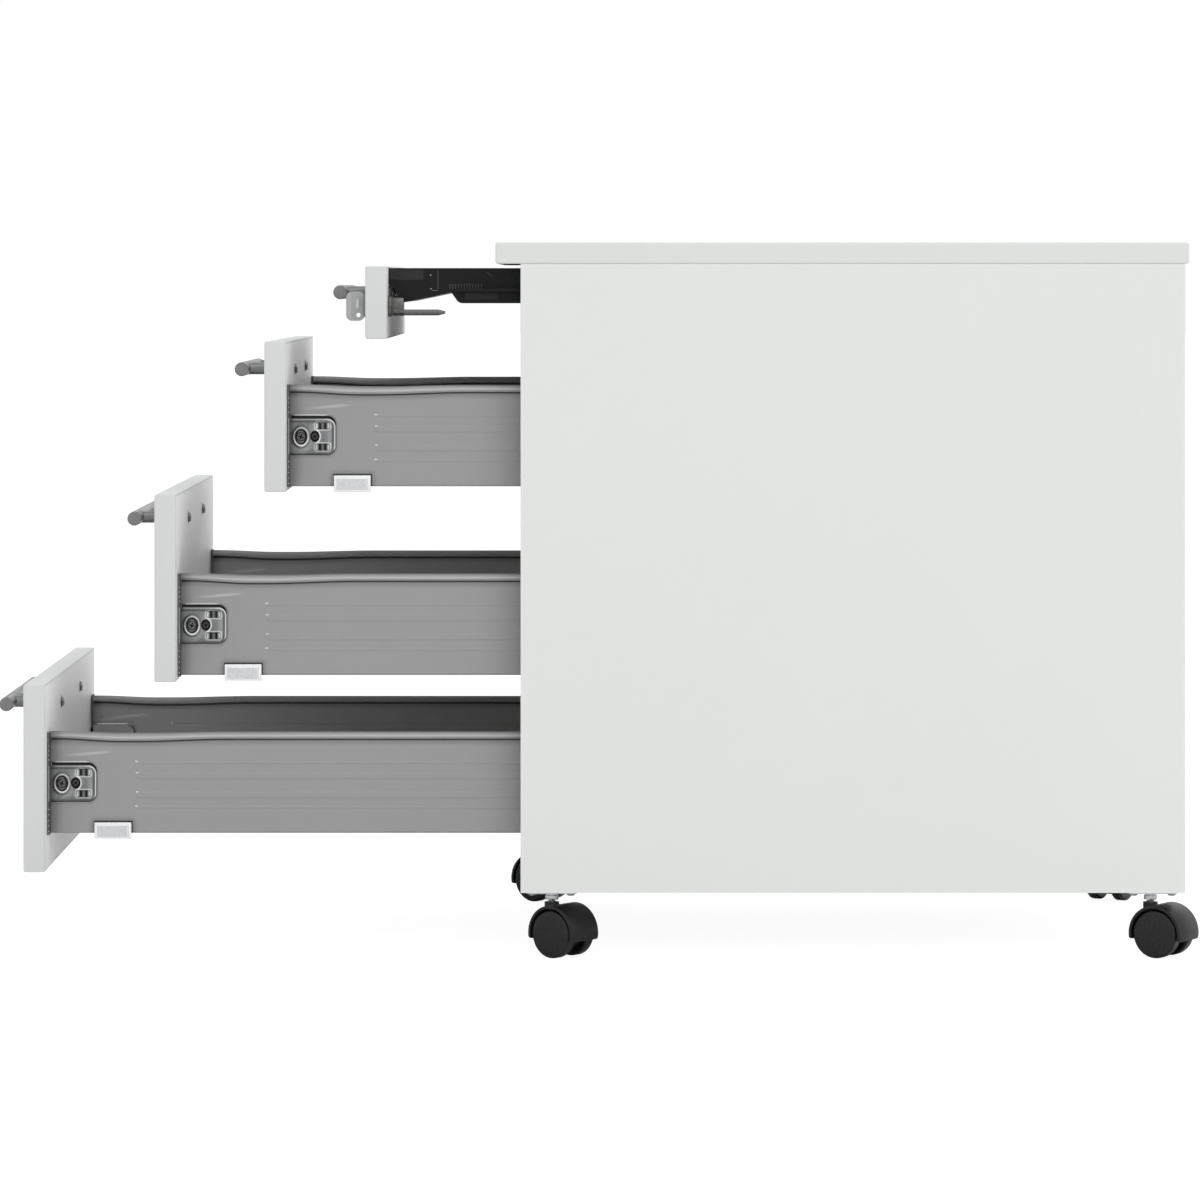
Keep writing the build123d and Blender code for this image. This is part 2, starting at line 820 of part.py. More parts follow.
def caster_wheels(place):
    """The two wheels of one caster, keyed by the side of the hood that each is on."""
    frame = caster_frame(place)
    wheels = {}
    for name, side in (("outer", -1), ("inner", 1)):
        centre = Pos(caster_trail, side * wheel_spacing / 2, wheel_radius)
        wheels[name] = frame * centre * Rot(-90 * side, 0, 0) * caster_wheel()
    return wheels


def carcass_nodes(drawers):
    """Boards, runners, guides and caster plates that stay still."""
    nodes = {
        "top_panel": top_panel(),
        "right_side_panel": grooved_side_panel(drawers),
        "left_side_panel": mirrored(side_panel()),
        "bottom_panel": bottom_panel(),
        "back_panel": back_panel(),
        "pen_tray_guides": pair(tray_guide()),
        "caster_plates": caster_plates(),
        "locking_bar": locking_bar(drawers),
    }
    for drawer in drawers:
        nodes[f"{drawer.name}_runner_rails"] = pair(runner_rail(drawer))
    return nodes


def pen_drawer_nodes():
    """The pen drawer with its lock and key."""
    return {
        "pen_drawer_front": pen_front(),
        "pen_tray": pen_tray(),
        "pen_tray_runners": pair(tray_runner()),
        "pen_drawer_handle": handle(pen_y, pen_front_top - pen_handle_drop),
        "lock_housing": lock_housing(),
        "lock_cam": lock_cam(),
        "key": key(),
    }


def drawer_nodes(drawer):
    """One steel-sided drawer with its rollers."""
    right = drawer.place * steel_side()
    pieces = {
        "front": front_board(drawer.front_y, drawer.front_low, drawer.front_high, handle_drop),
        "handle": handle(drawer.front_y, drawer.front_high - handle_drop),
        "right_side": right,
        "left_side": mirrored(right),
        "base": drawer.place * drawer_base(),
        "back": drawer.place * drawer_back(),
        "front_brackets": pair(drawer.place * front_bracket()),
        "catch": drawer.place * catch(),
        "rear_rollers": rear_rollers(drawer),
        "front_rollers": front_rollers(drawer),
    }
    return {f"{drawer.name}_drawer_{piece}": shape for piece, shape in pieces.items()}


def caster_nodes():
    """Hoods and wheels of the four casters."""
    nodes = {}
    for name, place in caster_places().items():
        nodes[f"{name}_caster_hood"] = caster_frame(place) * caster_hood()
        for wheel, shape in caster_wheels(place).items():
            nodes[f"{name}_caster_{wheel}_wheel"] = shape
    return nodes


def main():
    """Build every node and write it as a STEP file."""
    os.makedirs("parts", exist_ok=True)
    drawers = stack_drawers()
    nodes = carcass_nodes(drawers) | pen_drawer_nodes() | caster_nodes()
    for drawer in drawers:
        nodes |= drawer_nodes(drawer)
    for name, shape in nodes.items():
        export_step(shape, f"parts/{name}.step")
    print(len(nodes), "nodes written")


main()
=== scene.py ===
"""Looks of a rolling file cabinet: its finishes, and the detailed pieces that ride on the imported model.

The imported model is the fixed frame. Everything is in metres, with +X at the cabinet's right side, the
drawers opening towards -Y and +Z up; a class that counts in millimetres says so. Each piece takes its
place from the node that it stands on or for.
"""

from __future__ import annotations

import json
import logging
import math
from collections.abc import Callable, Iterable, Sequence
from dataclasses import dataclass
from enum import Enum

import bmesh
import bpy
from mathutils import Matrix, Vector


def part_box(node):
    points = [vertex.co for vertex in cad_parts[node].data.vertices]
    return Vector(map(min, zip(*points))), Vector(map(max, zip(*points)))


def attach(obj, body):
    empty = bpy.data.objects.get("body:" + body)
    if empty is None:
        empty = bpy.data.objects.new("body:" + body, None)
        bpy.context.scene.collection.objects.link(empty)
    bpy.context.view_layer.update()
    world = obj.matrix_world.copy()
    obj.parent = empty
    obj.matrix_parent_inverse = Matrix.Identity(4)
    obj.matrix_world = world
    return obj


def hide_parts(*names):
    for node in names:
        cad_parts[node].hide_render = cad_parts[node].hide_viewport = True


LOG = logging.getLogger("cabinet")
MM = 0.001
INF = math.inf

Colour = tuple[float, float, float, float]
Point = tuple[float, float]
Material = bpy.types.Material
Node = bpy.types.Node
Piece = bpy.types.Object
Socket = bpy.types.NodeSocket
Tree = bpy.types.NodeTree
Outputs = bpy.types.NodeOutputs
Vertex = bmesh.types.BMVert
# Painted light and wear at a place: below 0 painted shade, above 0 painted highlights and worn metal.
Wear = Callable[[Vector], float]
Aimed = tuple[Vector, Vector]

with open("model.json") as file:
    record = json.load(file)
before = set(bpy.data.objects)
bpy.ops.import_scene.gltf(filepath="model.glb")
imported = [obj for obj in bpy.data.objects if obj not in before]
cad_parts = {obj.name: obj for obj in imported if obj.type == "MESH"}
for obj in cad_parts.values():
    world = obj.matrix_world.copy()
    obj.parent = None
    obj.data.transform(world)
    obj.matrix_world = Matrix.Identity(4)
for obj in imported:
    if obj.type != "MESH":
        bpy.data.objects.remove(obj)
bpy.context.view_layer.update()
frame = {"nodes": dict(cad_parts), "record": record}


class Side(Enum):
    """A side of the cabinet, with the sign of its X."""

    RIGHT = 1
    LEFT = -1


class Level(Enum):
    """A steel-sided drawer, by its place in the stack."""

    UPPER = "upper"
    MIDDLE = "middle"
    LOWER = "lower"


class Along(Enum):
    """An axis of the frame, with its index in a vector."""

    X = 0
    Y = 1
    Z = 2


def srgb(red: float, green: float, blue: float) -> Colour:
    """Turn an 8-bit display colour into a scene colour.

    Args:
        red: Red, 0 to 255.
        green: Green, 0 to 255.
        blue: Blue, 0 to 255.

    Returns:
        The linear colour with full alpha.
    """
    shares = (red / 255, green / 255, blue / 255)
    linear = (share / 12.92 if share <= 0.04045 else ((share + 0.055) / 1.055) ** 2.4 for share in shares)
    return (*linear, 1.0)


def shade(colour: Colour, factor: float) -> Colour:
    """Make a colour lighter or darker by a factor."""
    red, green, blue, alpha = colour
    return red * factor, green * factor, blue * factor, alpha


def smooth(low: float, high: float, value: float) -> float:
    """Rise gently from 0 at low to 1 at high."""
    share = min(max((value - low) / (high - low), 0.0), 1.0)
    return share * share * (3 - 2 * share)


def plateau(start: float, full: float, fading: float, end: float, value: float) -> float:
    """Rise gently from start to full, stay at 1, and fall gently from fading to end."""
    return smooth(start, full, value) * (1 - smooth(fading, end, value))


def peak(distance: float, width: float) -> float:
    """Follow a bell curve that is 1 at no distance and near 0 at twice its width."""
    return math.exp(-((distance / width) ** 2))


def box_distance(out_y: float, out_z: float) -> float:
    """Distance outside a corner, given how far a point is past each side; negative inside."""
    return math.hypot(max(out_y, 0.0), max(out_z, 0.0)) + min(max(out_y, out_z), 0.0)


def circle(radius: float, steps: int) -> list[Point]:
    """Points in order round a circle, from X on."""
    angles = (2 * math.pi * step / steps for step in range(steps))
    return [(radius * math.cos(angle), radius * math.sin(angle)) for angle in angles]


def rectangle(left: float, bottom: float, right: float, top: float) -> list[Point]:
    """Corners of a rectangle in order, from the lower left one on."""
    return [(left, bottom), (right, bottom), (right, top), (left, top)]


def divide(start: float, end: float, steps: Sequence[Point]) -> list[float]:
    """Divide a line into steps that change along it.

    Args:
        start: Where the line starts.
        end: Where it ends.
        steps: Far end and step of each stretch, in mm; an infinite far end stands for the line's end.

    Returns:
        The end of each step.
    """
    places = []
    for limit, step in steps:
        stop = min(limit * MM, end)
        count = max(1, round((stop - start) / (step * MM)))
        places += [start + (stop - start) * (index + 1) / count for index in range(count)]
        start = stop
    return places


class Graph:
    """Adds nodes to a tree and links them."""

    def __init__(self, tree: Tree) -> None:
        """Start on a tree, emptied."""
        self.tree = tree
        tree.nodes.clear()

    def feed(self, socket: Socket, value: object) -> None:
        """Link an input socket to another socket, or set its value."""
        if isinstance(value, Socket):
            self.tree.links.new(value, socket)
        else:
            socket.default_value = value

    def add(self, kind: str, inputs: dict[str | int, object] | None = None, **settings: object) -> Node:
        """Add a node.

        Args:
            kind: The node's Blender type.
            inputs: Values for its input sockets; a socket given as a value is linked.
            settings: Properties of the node.

        Returns:
            The new node.
        """
        node = self.tree.nodes.new(kind)
        for name, value in settings.items():
            setattr(node, name, value)
        for key, value in (inputs or {}).items():
            self.feed(node.inputs[key], value)
        return node

    def math(self, operation: str, first: object, second: object = 0.0, clamp: bool = False) -> Socket:
        """Combine two numbers and return the result's socket."""
        node = self.add("ShaderNodeMath", {0: first, 1: second}, operation=operation, use_clamp=clamp)
        return node.outputs[0]

    def vector(self, operation: str, first: Socket, second: Socket) -> Socket:
        """Combine two vectors and return the result's socket."""
        return self.add("ShaderNodeVectorMath", {0: first, 1: second}, operation=operation).outputs[0]

    def noise(self, vector: Socket, scale: object, **inputs: float) -> Socket:
        """Add noise over a place and return its value's socket."""
        return self.add("ShaderNodeTexNoise", {"Vector": vector, "Scale": scale, **inputs}).outputs[0]

    def remap(self, value: Socket, low: float, high: float, to: Point = (0.0, 1.0)) -> Socket:
        """Map a value's range gently onto another, clamped, and return the result's socket."""
        inputs = {"Value": value, "From Min": low, "From Max": high, "To Min": to[0], "To Max": to[1]}
        return self.add("ShaderNodeMapRange", inputs, interpolation_type="SMOOTHSTEP").outputs[0]


class Effect(Graph):
    """A shader node group in the making, whose results are numbers."""

    def __init__(self, name: str, vectors: Sequence[str], numbers: Sequence[str]) -> None:
        """Start the group.

        Args:
            name: The group's name.
            vectors: Its inputs that are vectors.
            numbers: Its inputs that are numbers.
        """
        super().__init__(bpy.data.node_groups.new(name, "ShaderNodeTree"))
        for kind, labels in (("NodeSocketVector", vectors), ("NodeSocketFloat", numbers)):
            for label in labels:
                self.tree.interface.new_socket(label, in_out="INPUT", socket_type=kind)
        self.given = self.add("NodeGroupInput").outputs

    def close(self, **results: Socket) -> Tree:
        """End the group with its results and return its tree."""
        for label in results:
            self.tree.interface.new_socket(label, in_out="OUTPUT", socket_type="NodeSocketFloat")
        self.add("NodeGroupOutput", results)
        return self.tree


def tone_effect() -> Tree:
    """Slow, cloudy variation of tone over a surface, as a value near 1."""
    group = Effect("tone_drift", ["Vector"], ["Scale", "Depth"])
    noise = group.noise(group.given["Vector"], group.given["Scale"], Detail=3.0, Roughness=0.55)
    scaled = group.math("MULTIPLY", group.math("SUBTRACT", noise, 0.5), group.given["Depth"])
    return group.close(Tone=group.math("ADD", scaled, 1.0))


def grain_effect() -> Tree:
    """Fine grain in two sizes, for the height of a bump."""
    group = Effect("fine_grain", ["Vector"], ["Scale", "Coarse share"])
    place, scale = group.given["Vector"], group.given["Scale"]
    fine = group.noise(place, scale, Detail=2.0)
    coarse = group.noise(place, group.math("MULTIPLY", scale, 0.23))
    part = group.math("MULTIPLY", coarse, group.given["Coarse share"])
    return group.close(Height=group.math("ADD", fine, part))


def scuff_effect() -> Tree:
    """Sparse hairline scuffs in one direction, as a mask."""
    group = Effect("scuffs", ["Vector", "Stretch"], ["Cut"])
    stretched = group.vector("MULTIPLY", group.given["Vector"], group.given["Stretch"])
    over = group.math("SUBTRACT", group.noise(stretched, 1.0, Detail=2.0), group.given["Cut"])
    return group.close(Mask=group.math("MULTIPLY", over, 12.0, clamp=True))


def band_effect() -> Tree:
    """Edge band of a board: a mask near the board's outline, and one for the joint line beside it."""
    group = Effect("edge_band", ["Vector", "Low", "High"], ["Thickness"])
    place, thick = group.given["Vector"], group.given["Thickness"]
    above = group.vector("SUBTRACT", place, group.given["Low"])
    below = group.vector("SUBTRACT", group.given["High"], place)
    parts = group.add("ShaderNodeSeparateXYZ", {0: group.vector("MINIMUM", above, below)}).outputs
    depth = group.math("MINIMUM", group.math("MINIMUM", parts[0], parts[1]), parts[2])
    inside = group.math("LESS_THAN", depth, thick)
    from_joint = group.math("ABSOLUTE", group.math("SUBTRACT", depth, thick))
    return group.close(Band=inside, Joint=group.math("LESS_THAN", from_joint, 0.12 * MM))


def light_and_wear_effect() -> Tree:
    """Split a piece's painted light and wear into masks: painted highlights and worn metal where it is
    above 0, painted shade where it is below.
    """
    group = Effect("wear_masks", [], ["Wear"])
    wear = group.given["Wear"]
    painted_shade = group.math("MAXIMUM", group.math("MULTIPLY", wear, -1.0), 0.0)
    return group.close(Burnish=group.math("MAXIMUM", wear, 0.0), Grime=painted_shade)


class Effects:
    """The shader groups that the finishes share, each built once, and the colours of painted light and
    wear.
    """

    # Near-white for painted highlights and worn metal; near-black for painted shade.
    HIGHLIGHT_AND_WORN_STEEL = (0.95, 0.95, 0.95, 1.0)
    SHADE_BLACK = (0.006, 0.006, 0.006, 1.0)

    def __init__(self) -> None:
        """Build the groups."""
        self.tone = tone_effect()
        self.grain = grain_effect()
        self.scuffs = scuff_effect()
        self.band = band_effect()
        self.wear = light_and_wear_effect()


EFFECTS = Effects()


class Coat(Graph):
    """A material in the making, with a Principled shader and object coordinates."""

    def __init__(self, name: str) -> None:
        """Start a material."""
        self.material = bpy.data.materials.new(name)
        self.material.use_nodes = True
        super().__init__(self.material.node_tree)
        self.place = self.add("ShaderNodeTexCoord").outputs["Object"]
        self.shader = self.add("ShaderNodeBsdfPrincipled")
        self.add("ShaderNodeOutputMaterial", {"Surface": self.shader.outputs[0]})

    def group(self, tree: Tree, **values: object) -> Outputs:
        """Place a shared effect on the object coordinates; an underscore stands for a space."""
        inputs = {label.replace("_", " "): value for label, value in values.items()}
        return self.add("ShaderNodeGroup", {"Vector": self.place, **inputs}, node_tree=tree).outputs

    def grain(self, scale: float, coarse_share: float) -> Socket:
        """Place the fine grain and return its height's socket."""
        return self.group(EFFECTS.grain, Scale=scale, Coarse_share=coarse_share)[0]

    def scuffs(self, stretch: Sequence[float], cut: float) -> Socket:
        """Place the scuffs and return their mask's socket."""
        return self.group(EFFECTS.scuffs, Stretch=stretch, Cut=cut)[0]

    def toned(self, colour: Colour | Socket, scale: float, depth: float) -> Socket:
        """Multiply a colour by slow variation of tone."""
        return self.mix(1.0, colour, self.group(EFFECTS.tone, Scale=scale, Depth=depth)[0], "MULTIPLY")

    def with_light_and_wear(self, colour: Socket) -> Socket:
        """Blend a colour to near-white steel for painted highlights and wear, and to near-black for painted
        shade, by the piece's painted light and wear attribute.
        """
        wear = self.add("ShaderNodeAttribute", attribute_name="wear").outputs["Fac"]
        masks = self.add("ShaderNodeGroup", {"Wear": wear}, node_tree=EFFECTS.wear).outputs
        highlighted_and_worn = self.mix(masks["Burnish"], colour, Effects.HIGHLIGHT_AND_WORN_STEEL)
        return self.mix(masks["Grime"], highlighted_and_worn, Effects.SHADE_BLACK)

    def mix(self, factor: object, first: object, second: object, blend: str = "MIX") -> Socket:
        """Mix two colours and return the result's socket."""
        inputs = {0: factor, 6: first, 7: second}
        return self.add("ShaderNodeMix", inputs, data_type="RGBA", blend_type=blend).outputs[2]

    def finish(self, height: Socket, depth: float, **values: object) -> Material:
        """Give the shader a bump and its other inputs.

        Args:
            height: Height of the bump.
            depth: The depth in metres that a height of 1 stands for.
            values: Inputs of the shader; an underscore stands for a space.

        Returns:
            The material.
        """
        bump = self.add("ShaderNodeBump", {"Height": height, "Distance": depth, "Strength": 1.0})
        for label, value in {"Normal": bump.outputs[0], **values}.items():
            self.feed(self.shader.inputs[label.replace("_", " ")], value)
        return self.material


@dataclass(frozen=True)
class Laminate:
    """Melamine-faced board with edge bands of a slightly different tone and a fine pearl texture."""

    face: Colour
    band: Colour
    pearl: float = 0.02 * MM
    band_thickness: float = 2 * MM
    joint_shade: float = 0.985

    def build(self, name: str, low: Vector, high: Vector, thin: Along) -> Material:
        """Build the material of one board.

        Args:
            name: The material's name.
            low: Lowest corner of the board.
            high: Highest corner of the board.
            thin: The axis across the board's thickness, which has no band of its own.

        Returns:
            The material.
        """
        coat = Coat(name)
        low, high = Vector(low), Vector(high)
        low[thin.value] -= 1.0
        high[thin.value] += 1.0
        masks = coat.group(EFFECTS.band, Low=tuple(low), High=tuple(high), Thickness=self.band_thickness)
        colour = coat.mix(masks["Band"], self.face, self.band)
        colour = coat.mix(masks["Joint"], colour, shade(self.face, self.joint_shade))
        grain = coat.grain(1400.0, 0.5)
        rough = coat.remap(grain, 0.3, 1.1, (0.38, 0.5))
        colour = coat.toned(colour, 5.0, 0.025)
        return coat.finish(grain, self.pearl, Base_Color=colour, Roughness=rough, Specular_IOR_Level=0.4)


@dataclass(frozen=True)
class PowderCoat:
    """Paint on sheet steel with a fine orange-peel skin, and the painted highlights and painted shade of a
    piece's painted light and wear attribute.
    """

    colour: Colour
    roughness: float = 0.42
    peel: float = 0.03 * MM

    def build(self, name: str) -> Material:
        """Build the material and return it."""
        coat = Coat(name)
        grain = coat.grain(900.0, 0.8)
        rough = coat.remap(grain, 0.5, 1.3, (self.roughness - 0.05, self.roughness + 0.08))
        colour = coat.with_light_and_wear(coat.toned(self.colour, 9.0, 0.06))
        return coat.finish(grain, self.peel, Base_Color=colour, Roughness=rough, Specular_IOR_Level=0.45)


@dataclass(frozen=True)
class SatinMetal:
    """Brushed or ground metal whose fine lines run along one axis."""

    colour: Colour
    roughness: float
    lines: Along
    depth: float = 0.01 * MM

    def build(self, name: str) -> Material:
        """Build the material and return it."""
        coat = Coat(name)
        stretch = [900.0, 900.0, 900.0]
        stretch[self.lines.value] = 14.0
        lines = coat.scuffs(stretch, 0.45)
        rough = coat.remap(lines, 0.0, 1.0, (self.roughness - 0.06, self.roughness + 0.08))
        colour = coat.toned(coat.mix(lines, self.colour, shade(self.colour, 0.9)), 25.0, 0.06)
        return coat.finish(lines, self.depth, Base_Color=coat.with_light_and_wear(colour), Roughness=rough, Metallic=1.0)


@dataclass(frozen=True)
class Spangle:
    """Zinc plate, with crystal patches of slightly different tone and gloss."""

    colour: Colour
    roughness: float
    patch: float
    contrast: float
    depth: float = 0.008 * MM

    def build(self, name: str) -> Material:
        """Build the material and return it."""
        coat = Coat(name)
        inputs = {"Vector": coat.place, "Scale": 1 / self.patch, "Randomness": 1.0}
        cells = coat.add("ShaderNodeTexVoronoi", inputs)
        value = coat.add("ShaderNodeSeparateColor", {0: cells.outputs["Color"]}).outputs[0]
        tone = coat.remap(value, 0.0, 1.0, (1 - self.contrast, 1.0))
        rough = coat.remap(value, 0.0, 1.0, (self.roughness + 0.1, self.roughness - 0.06))
        colour = coat.toned(coat.mix(1.0, self.colour, tone, "MULTIPLY"), 30.0, 0.08)
        grain = coat.grain(2500.0, 0.4)
        return coat.finish(grain, self.depth, Base_Color=colour, Roughness=rough, Metallic=0.85)


@dataclass(frozen=True)
class Casting:
    """Plated die-cast zinc: soft grey flats, with painted highlights on crests and painted shade in corners
    from a piece's painted light and wear attribute.
    """

    colour: Colour
    roughness: float = 0.33
    metallic: float = 0.75
    depth: float = 0.02 * MM

    def build(self, name: str) -> Material:
        """Build the material and return it."""
        coat = Coat(name)
        grain = coat.grain(700.0, 0.9)
        mottle = coat.remap(grain, 0.55, 1.25, (0.8, 1.15))
        colour = coat.with_light_and_wear(coat.mix(1.0, coat.toned(self.colour, 60.0, 0.3), mottle, "MULTIPLY"))
        rough = coat.remap(grain, 0.5, 1.3, (self.roughness - 0.05, self.roughness + 0.1))
        return coat.finish(grain, self.depth, Base_Color=colour, Roughness=rough, Metallic=self.metallic)


@dataclass(frozen=True)
class Moulding:
    """Moulded plastic with a fine eroded grain and a few light scuffs."""

    colour: Colour
    roughness: float
    grain_depth: float = 0.025 * MM
    scuffed: float = 0.25
    specular: float = 0.5

    def build(self, name: str) -> Material:
        """Build the material and return it."""
        coat = Coat(name)
        grain = coat.grain(1800.0, 0.5)
        faint = coat.math("MULTIPLY", coat.scuffs((260.0, 45.0, 380.0), 0.68), self.scuffed)
        red, green, blue, alpha = self.colour
        scraped = (red + 0.05, green + 0.05, blue + 0.05, alpha)
        colour = coat.toned(coat.with_light_and_wear(coat.mix(faint, self.colour, scraped)), 40.0, 0.12)
        rough = coat.remap(grain, 0.3, 1.1, (self.roughness - 0.05, self.roughness + 0.07))
        gloss = {"Roughness": rough, "Specular_IOR_Level": self.specular}
        return coat.finish(grain, self.grain_depth, Base_Color=colour, **gloss)


class Palette:
    """Every finish of the cabinet apart from the boards' own, built once."""

    def __init__(self) -> None:
        """Build the materials."""
        self.drawer_steel = PowderCoat(srgb(156, 156, 156)).build("grey_powder_coat")
        self.runner_steel = PowderCoat(srgb(196, 198, 198), 0.36, 0.02 * MM).build("runner_epoxy_coat")
        self.bracket_zinc = Casting(srgb(128, 129, 130)).build("cast_zinc")
        # The feet's zinc is a darker copy of the bracket's: painted shade on the feet, in the corner behind
        # the front.
        self.foot_zinc = Casting(srgb(105, 105, 106), 0.4, 0.5).build("dark_cast_zinc")
        self.bright_zinc = Spangle(srgb(248, 249, 250), 0.3, 1.1 * MM, 0.05).build("bright_zinc_plate")
        self.plate_zinc = Spangle(srgb(206, 208, 210), 0.28, 0.3 * MM, 0.04).build("caster_zinc_plate")
        self.mottled_zinc = Spangle(srgb(226, 228, 229), 0.42, 0.45 * MM, 0.22).build("mottled_zinc_plate")
        self.screw_steel = SatinMetal(srgb(172, 173, 174), 0.26, Along.Z).build("screw_steel")
        self.dark_screw = SatinMetal(srgb(78, 78, 80), 0.3, Along.Z).build("blackened_screw_steel")
        self.handle_steel = SatinMetal(srgb(136, 136, 136), 0.34, Along.X).build("satin_handle_steel")
        self.nickel = SatinMetal(srgb(106, 106, 105), 0.24, Along.Y).build("nickel_plate")
        self.nylon = Moulding(srgb(225, 225, 220), 0.4, scuffed=0.1).build("white_nylon")
        self.tray_plastic = Moulding(srgb(9, 9, 10), 0.4, specular=0.25).build("black_tray_plastic")
        self.caster_plastic = Moulding(srgb(17, 17, 18), 0.34, specular=0.35).build("black_hood_plastic")
        tread = Moulding(srgb(19, 19, 20), 0.24, 0.004 * MM, specular=0.35)
        self.wheel_plastic = tread.build("black_wheel_plastic")
        self.key_plastic = Moulding(srgb(172, 173, 174), 0.4, 0.012 * MM).build("grey_key_plastic")


BOARD = Laminate(face=srgb(231, 233, 231), band=srgb(233, 235, 233))
TOP_BOARD = Laminate(face=srgb(231, 233, 231), band=srgb(225, 227, 225))
# The fronts' face is lighter than the other boards' white, painted light on the inner faces that the lamps
# barely reach; their edge band is darker, painted shade on the front edges.
FRONT_BOARD = Laminate(face=srgb(247, 248, 247), band=srgb(217, 219, 218))
INNER_BOARD = Laminate(face=srgb(215, 216, 215), band=srgb(205, 206, 205))


def on_wall(x: float, y: float = 0.0, z: float = 0.0) -> Matrix:
    """Place for a shape drawn in (Y, Z) on a wall that faces +X, with its own origin there."""
    view = Matrix(((0, 0, 1, 0), (1, 0, 0, 0), (0, 1, 0, 0), (0, 0, 0, 1)))
    return Matrix.Translation((x, y, z)) @ view


def facing_x(place: Sequence[float]) -> Matrix:
    """Place for a shape drawn about Z that is to stand out along +X."""
    return Matrix.Translation(place) @ Matrix.Rotation(math.pi / 2, 4, "Y")


def placed_object(name: str, mesh: bpy.types.Mesh) -> Piece:
    """Put a mesh into the scene as an object at the origin."""
    piece = bpy.data.objects.new(name, mesh)
    bpy.context.scene.collection.objects.link(piece)
    return piece


def is_sharp(edge: bmesh.types.BMEdge, limit: float) -> bool:
    """Tell whether an edge is open or turns by an angle in degrees or more."""
    return len(edge.link_faces) != 2 or edge.calc_face_angle(0.0) >= math.radians(limit)


def put_into(bm: bmesh.types.BMesh, mesh: bpy.types.Mesh, crease: float) -> None:
    """Write a shape into a mesh, smooth but for the edges that turn by the crease angle or more."""
    for edge in bm.edges:
        edge.smooth = not is_sharp(edge, crease)
    for face in bm.faces:
        face.smooth = True
    bm.to_mesh(mesh)
    bm.free()


class Draft:
    """A mesh in the making: closed shells gathered into one piece."""

    EASE_STEPS = 4

    def __init__(self) -> None:
        """Start an empty mesh with no painted light or wear."""
        self.bm = bmesh.new()
        self.wear = 0.0
        self.layer = self.bm.verts.layers.float.new("wear")

    def ring(self, points: Iterable[Sequence[float]]) -> list[Vertex]:
        """Add corners with the painted light and wear that is set now."""
        corners = [self.bm.verts.new(point) for point in points]
        for corner in corners:
            corner[self.layer] = self.wear
        return corners

    def join(self, near: Sequence[Vertex], far: Sequence[Vertex]) -> None:
        """Skin the gap between two rings of corners."""
        for index in range(len(near)):
            after = (index + 1) % len(near)
            self.bm.faces.new((near[index], near[after], far[after], far[index]))

    def loft(self, rings: Sequence[Sequence[Sequence[float]]], strip_caps: bool = False) -> None:
        """Skin a closed shell over rings of points.

        Args:
            rings: Rings with the same number of points each, one after the other.
            strip_caps: Close each end of a thin sheet across its thickness, and not with one face.
        """
        rows = [self.ring(ring) for ring in rings]
        for near, far in zip(rows, rows[1:]):
            self.join(near, far)
        for row in (rows[0], rows[-1]):
            if not strip_caps:
                self.bm.faces.new(row)
                continue
            for index in range(len(row) // 2 - 1):
                self.bm.faces.new((row[index], row[index + 1], row[-2 - index], row[-1 - index]))

    def lathe(self, profile: Sequence[Point], place: Matrix, steps: int) -> None:
        """Turn a profile of (radius, height) points about Z, with a flat face at each end.

        Args:
            profile: Points from one end of the axis to the other, without the axis points.
            place: Where the turned shape goes.
            steps: Number of flats round the axis.
        """
        rings = [[(*point, height) for point in circle(radius, steps)] for radius, height in profile]
        self.loft([[place @ Vector(point) for point in ring] for ring in rings])

    def slab(
        self, outline: Sequence[Point], low: float, high: float, place: Matrix, ease: float = 0.0
    ) -> None:
        """Give an outline in X and Y a thickness along Z, with eased edges.

        Args:
            outline: Corners of the outline, in order and convex.
            low: Lower face.
            high: Upper face.
            place: Where the slab goes.
            ease: Radius of the eased edges.
        """
        centre = sum((Vector(point) for point in outline), Vector((0, 0))) / len(outline)
        layers = [(low, 0.0), (high, 0.0)]
        if ease:
            angles = [math.pi / 2 * step / self.EASE_STEPS for step in range(self.EASE_STEPS + 1)]
            eased = [(ease * (1 - math.sin(a)), ease * (1 - math.cos(a))) for a in angles]
            layers = [(low + rise, inset) for rise, inset in reversed(eased)]
            layers += [(high - rise, inset) for rise, inset in eased]
        rings = []
        for height, inset in layers:
            arms = [Vector(point) - centre for point in outline]
            reaches = [centre + arm * (1 - inset / max(arm.length, 1e-9)) for arm in arms]
            rings.append([place @ Vector((*reach, height)) for reach in reaches])
        self.loft(rings)

    def finish(self, name: str, material: Material, crease: float = 32, wear: Wear | None = None) -> Piece:
        """Turn the draft into an object at the origin.

        Args:
            name: The object's name.
            material: Its finish.
            crease: Angle in degrees from which an edge stays sharp.
            wear: Painted light and wear at a place, from -1, painted shade, to 1, painted highlight and
                worn metal, in place of the draft's own.

        Returns:
            The object.
        """
        bmesh.ops.recalc_face_normals(self.bm, faces=self.bm.faces)
        if wear:
            for vertex in self.bm.verts:
                vertex[self.layer] = wear(vertex.co)
        mesh = bpy.data.meshes.new(name)
        put_into(self.bm, mesh, crease)
        mesh.materials.append(material)
        return placed_object(name, mesh)


def moved_copy(source: Piece, name: str, shift: Vector, flip_x: bool) -> Piece:
    """Copy a piece's mesh to another place.

    Args:
        source: The piece to copy.
        name: The copy's name.
        shift: How far the copy is moved.
        flip_x: Mirror it in X first, with its faces turned to point outwards again.

    Returns:
        The copy, at the origin with its place in its mesh.
    """
    mesh = source.data.copy()
    if flip_x:
        mesh.transform(Matrix.Diagonal((-1, 1, 1, 1)))
        mesh.flip_normals()
    mesh.transform(Matrix.Translation(shift))
    return placed_object(name, mesh)


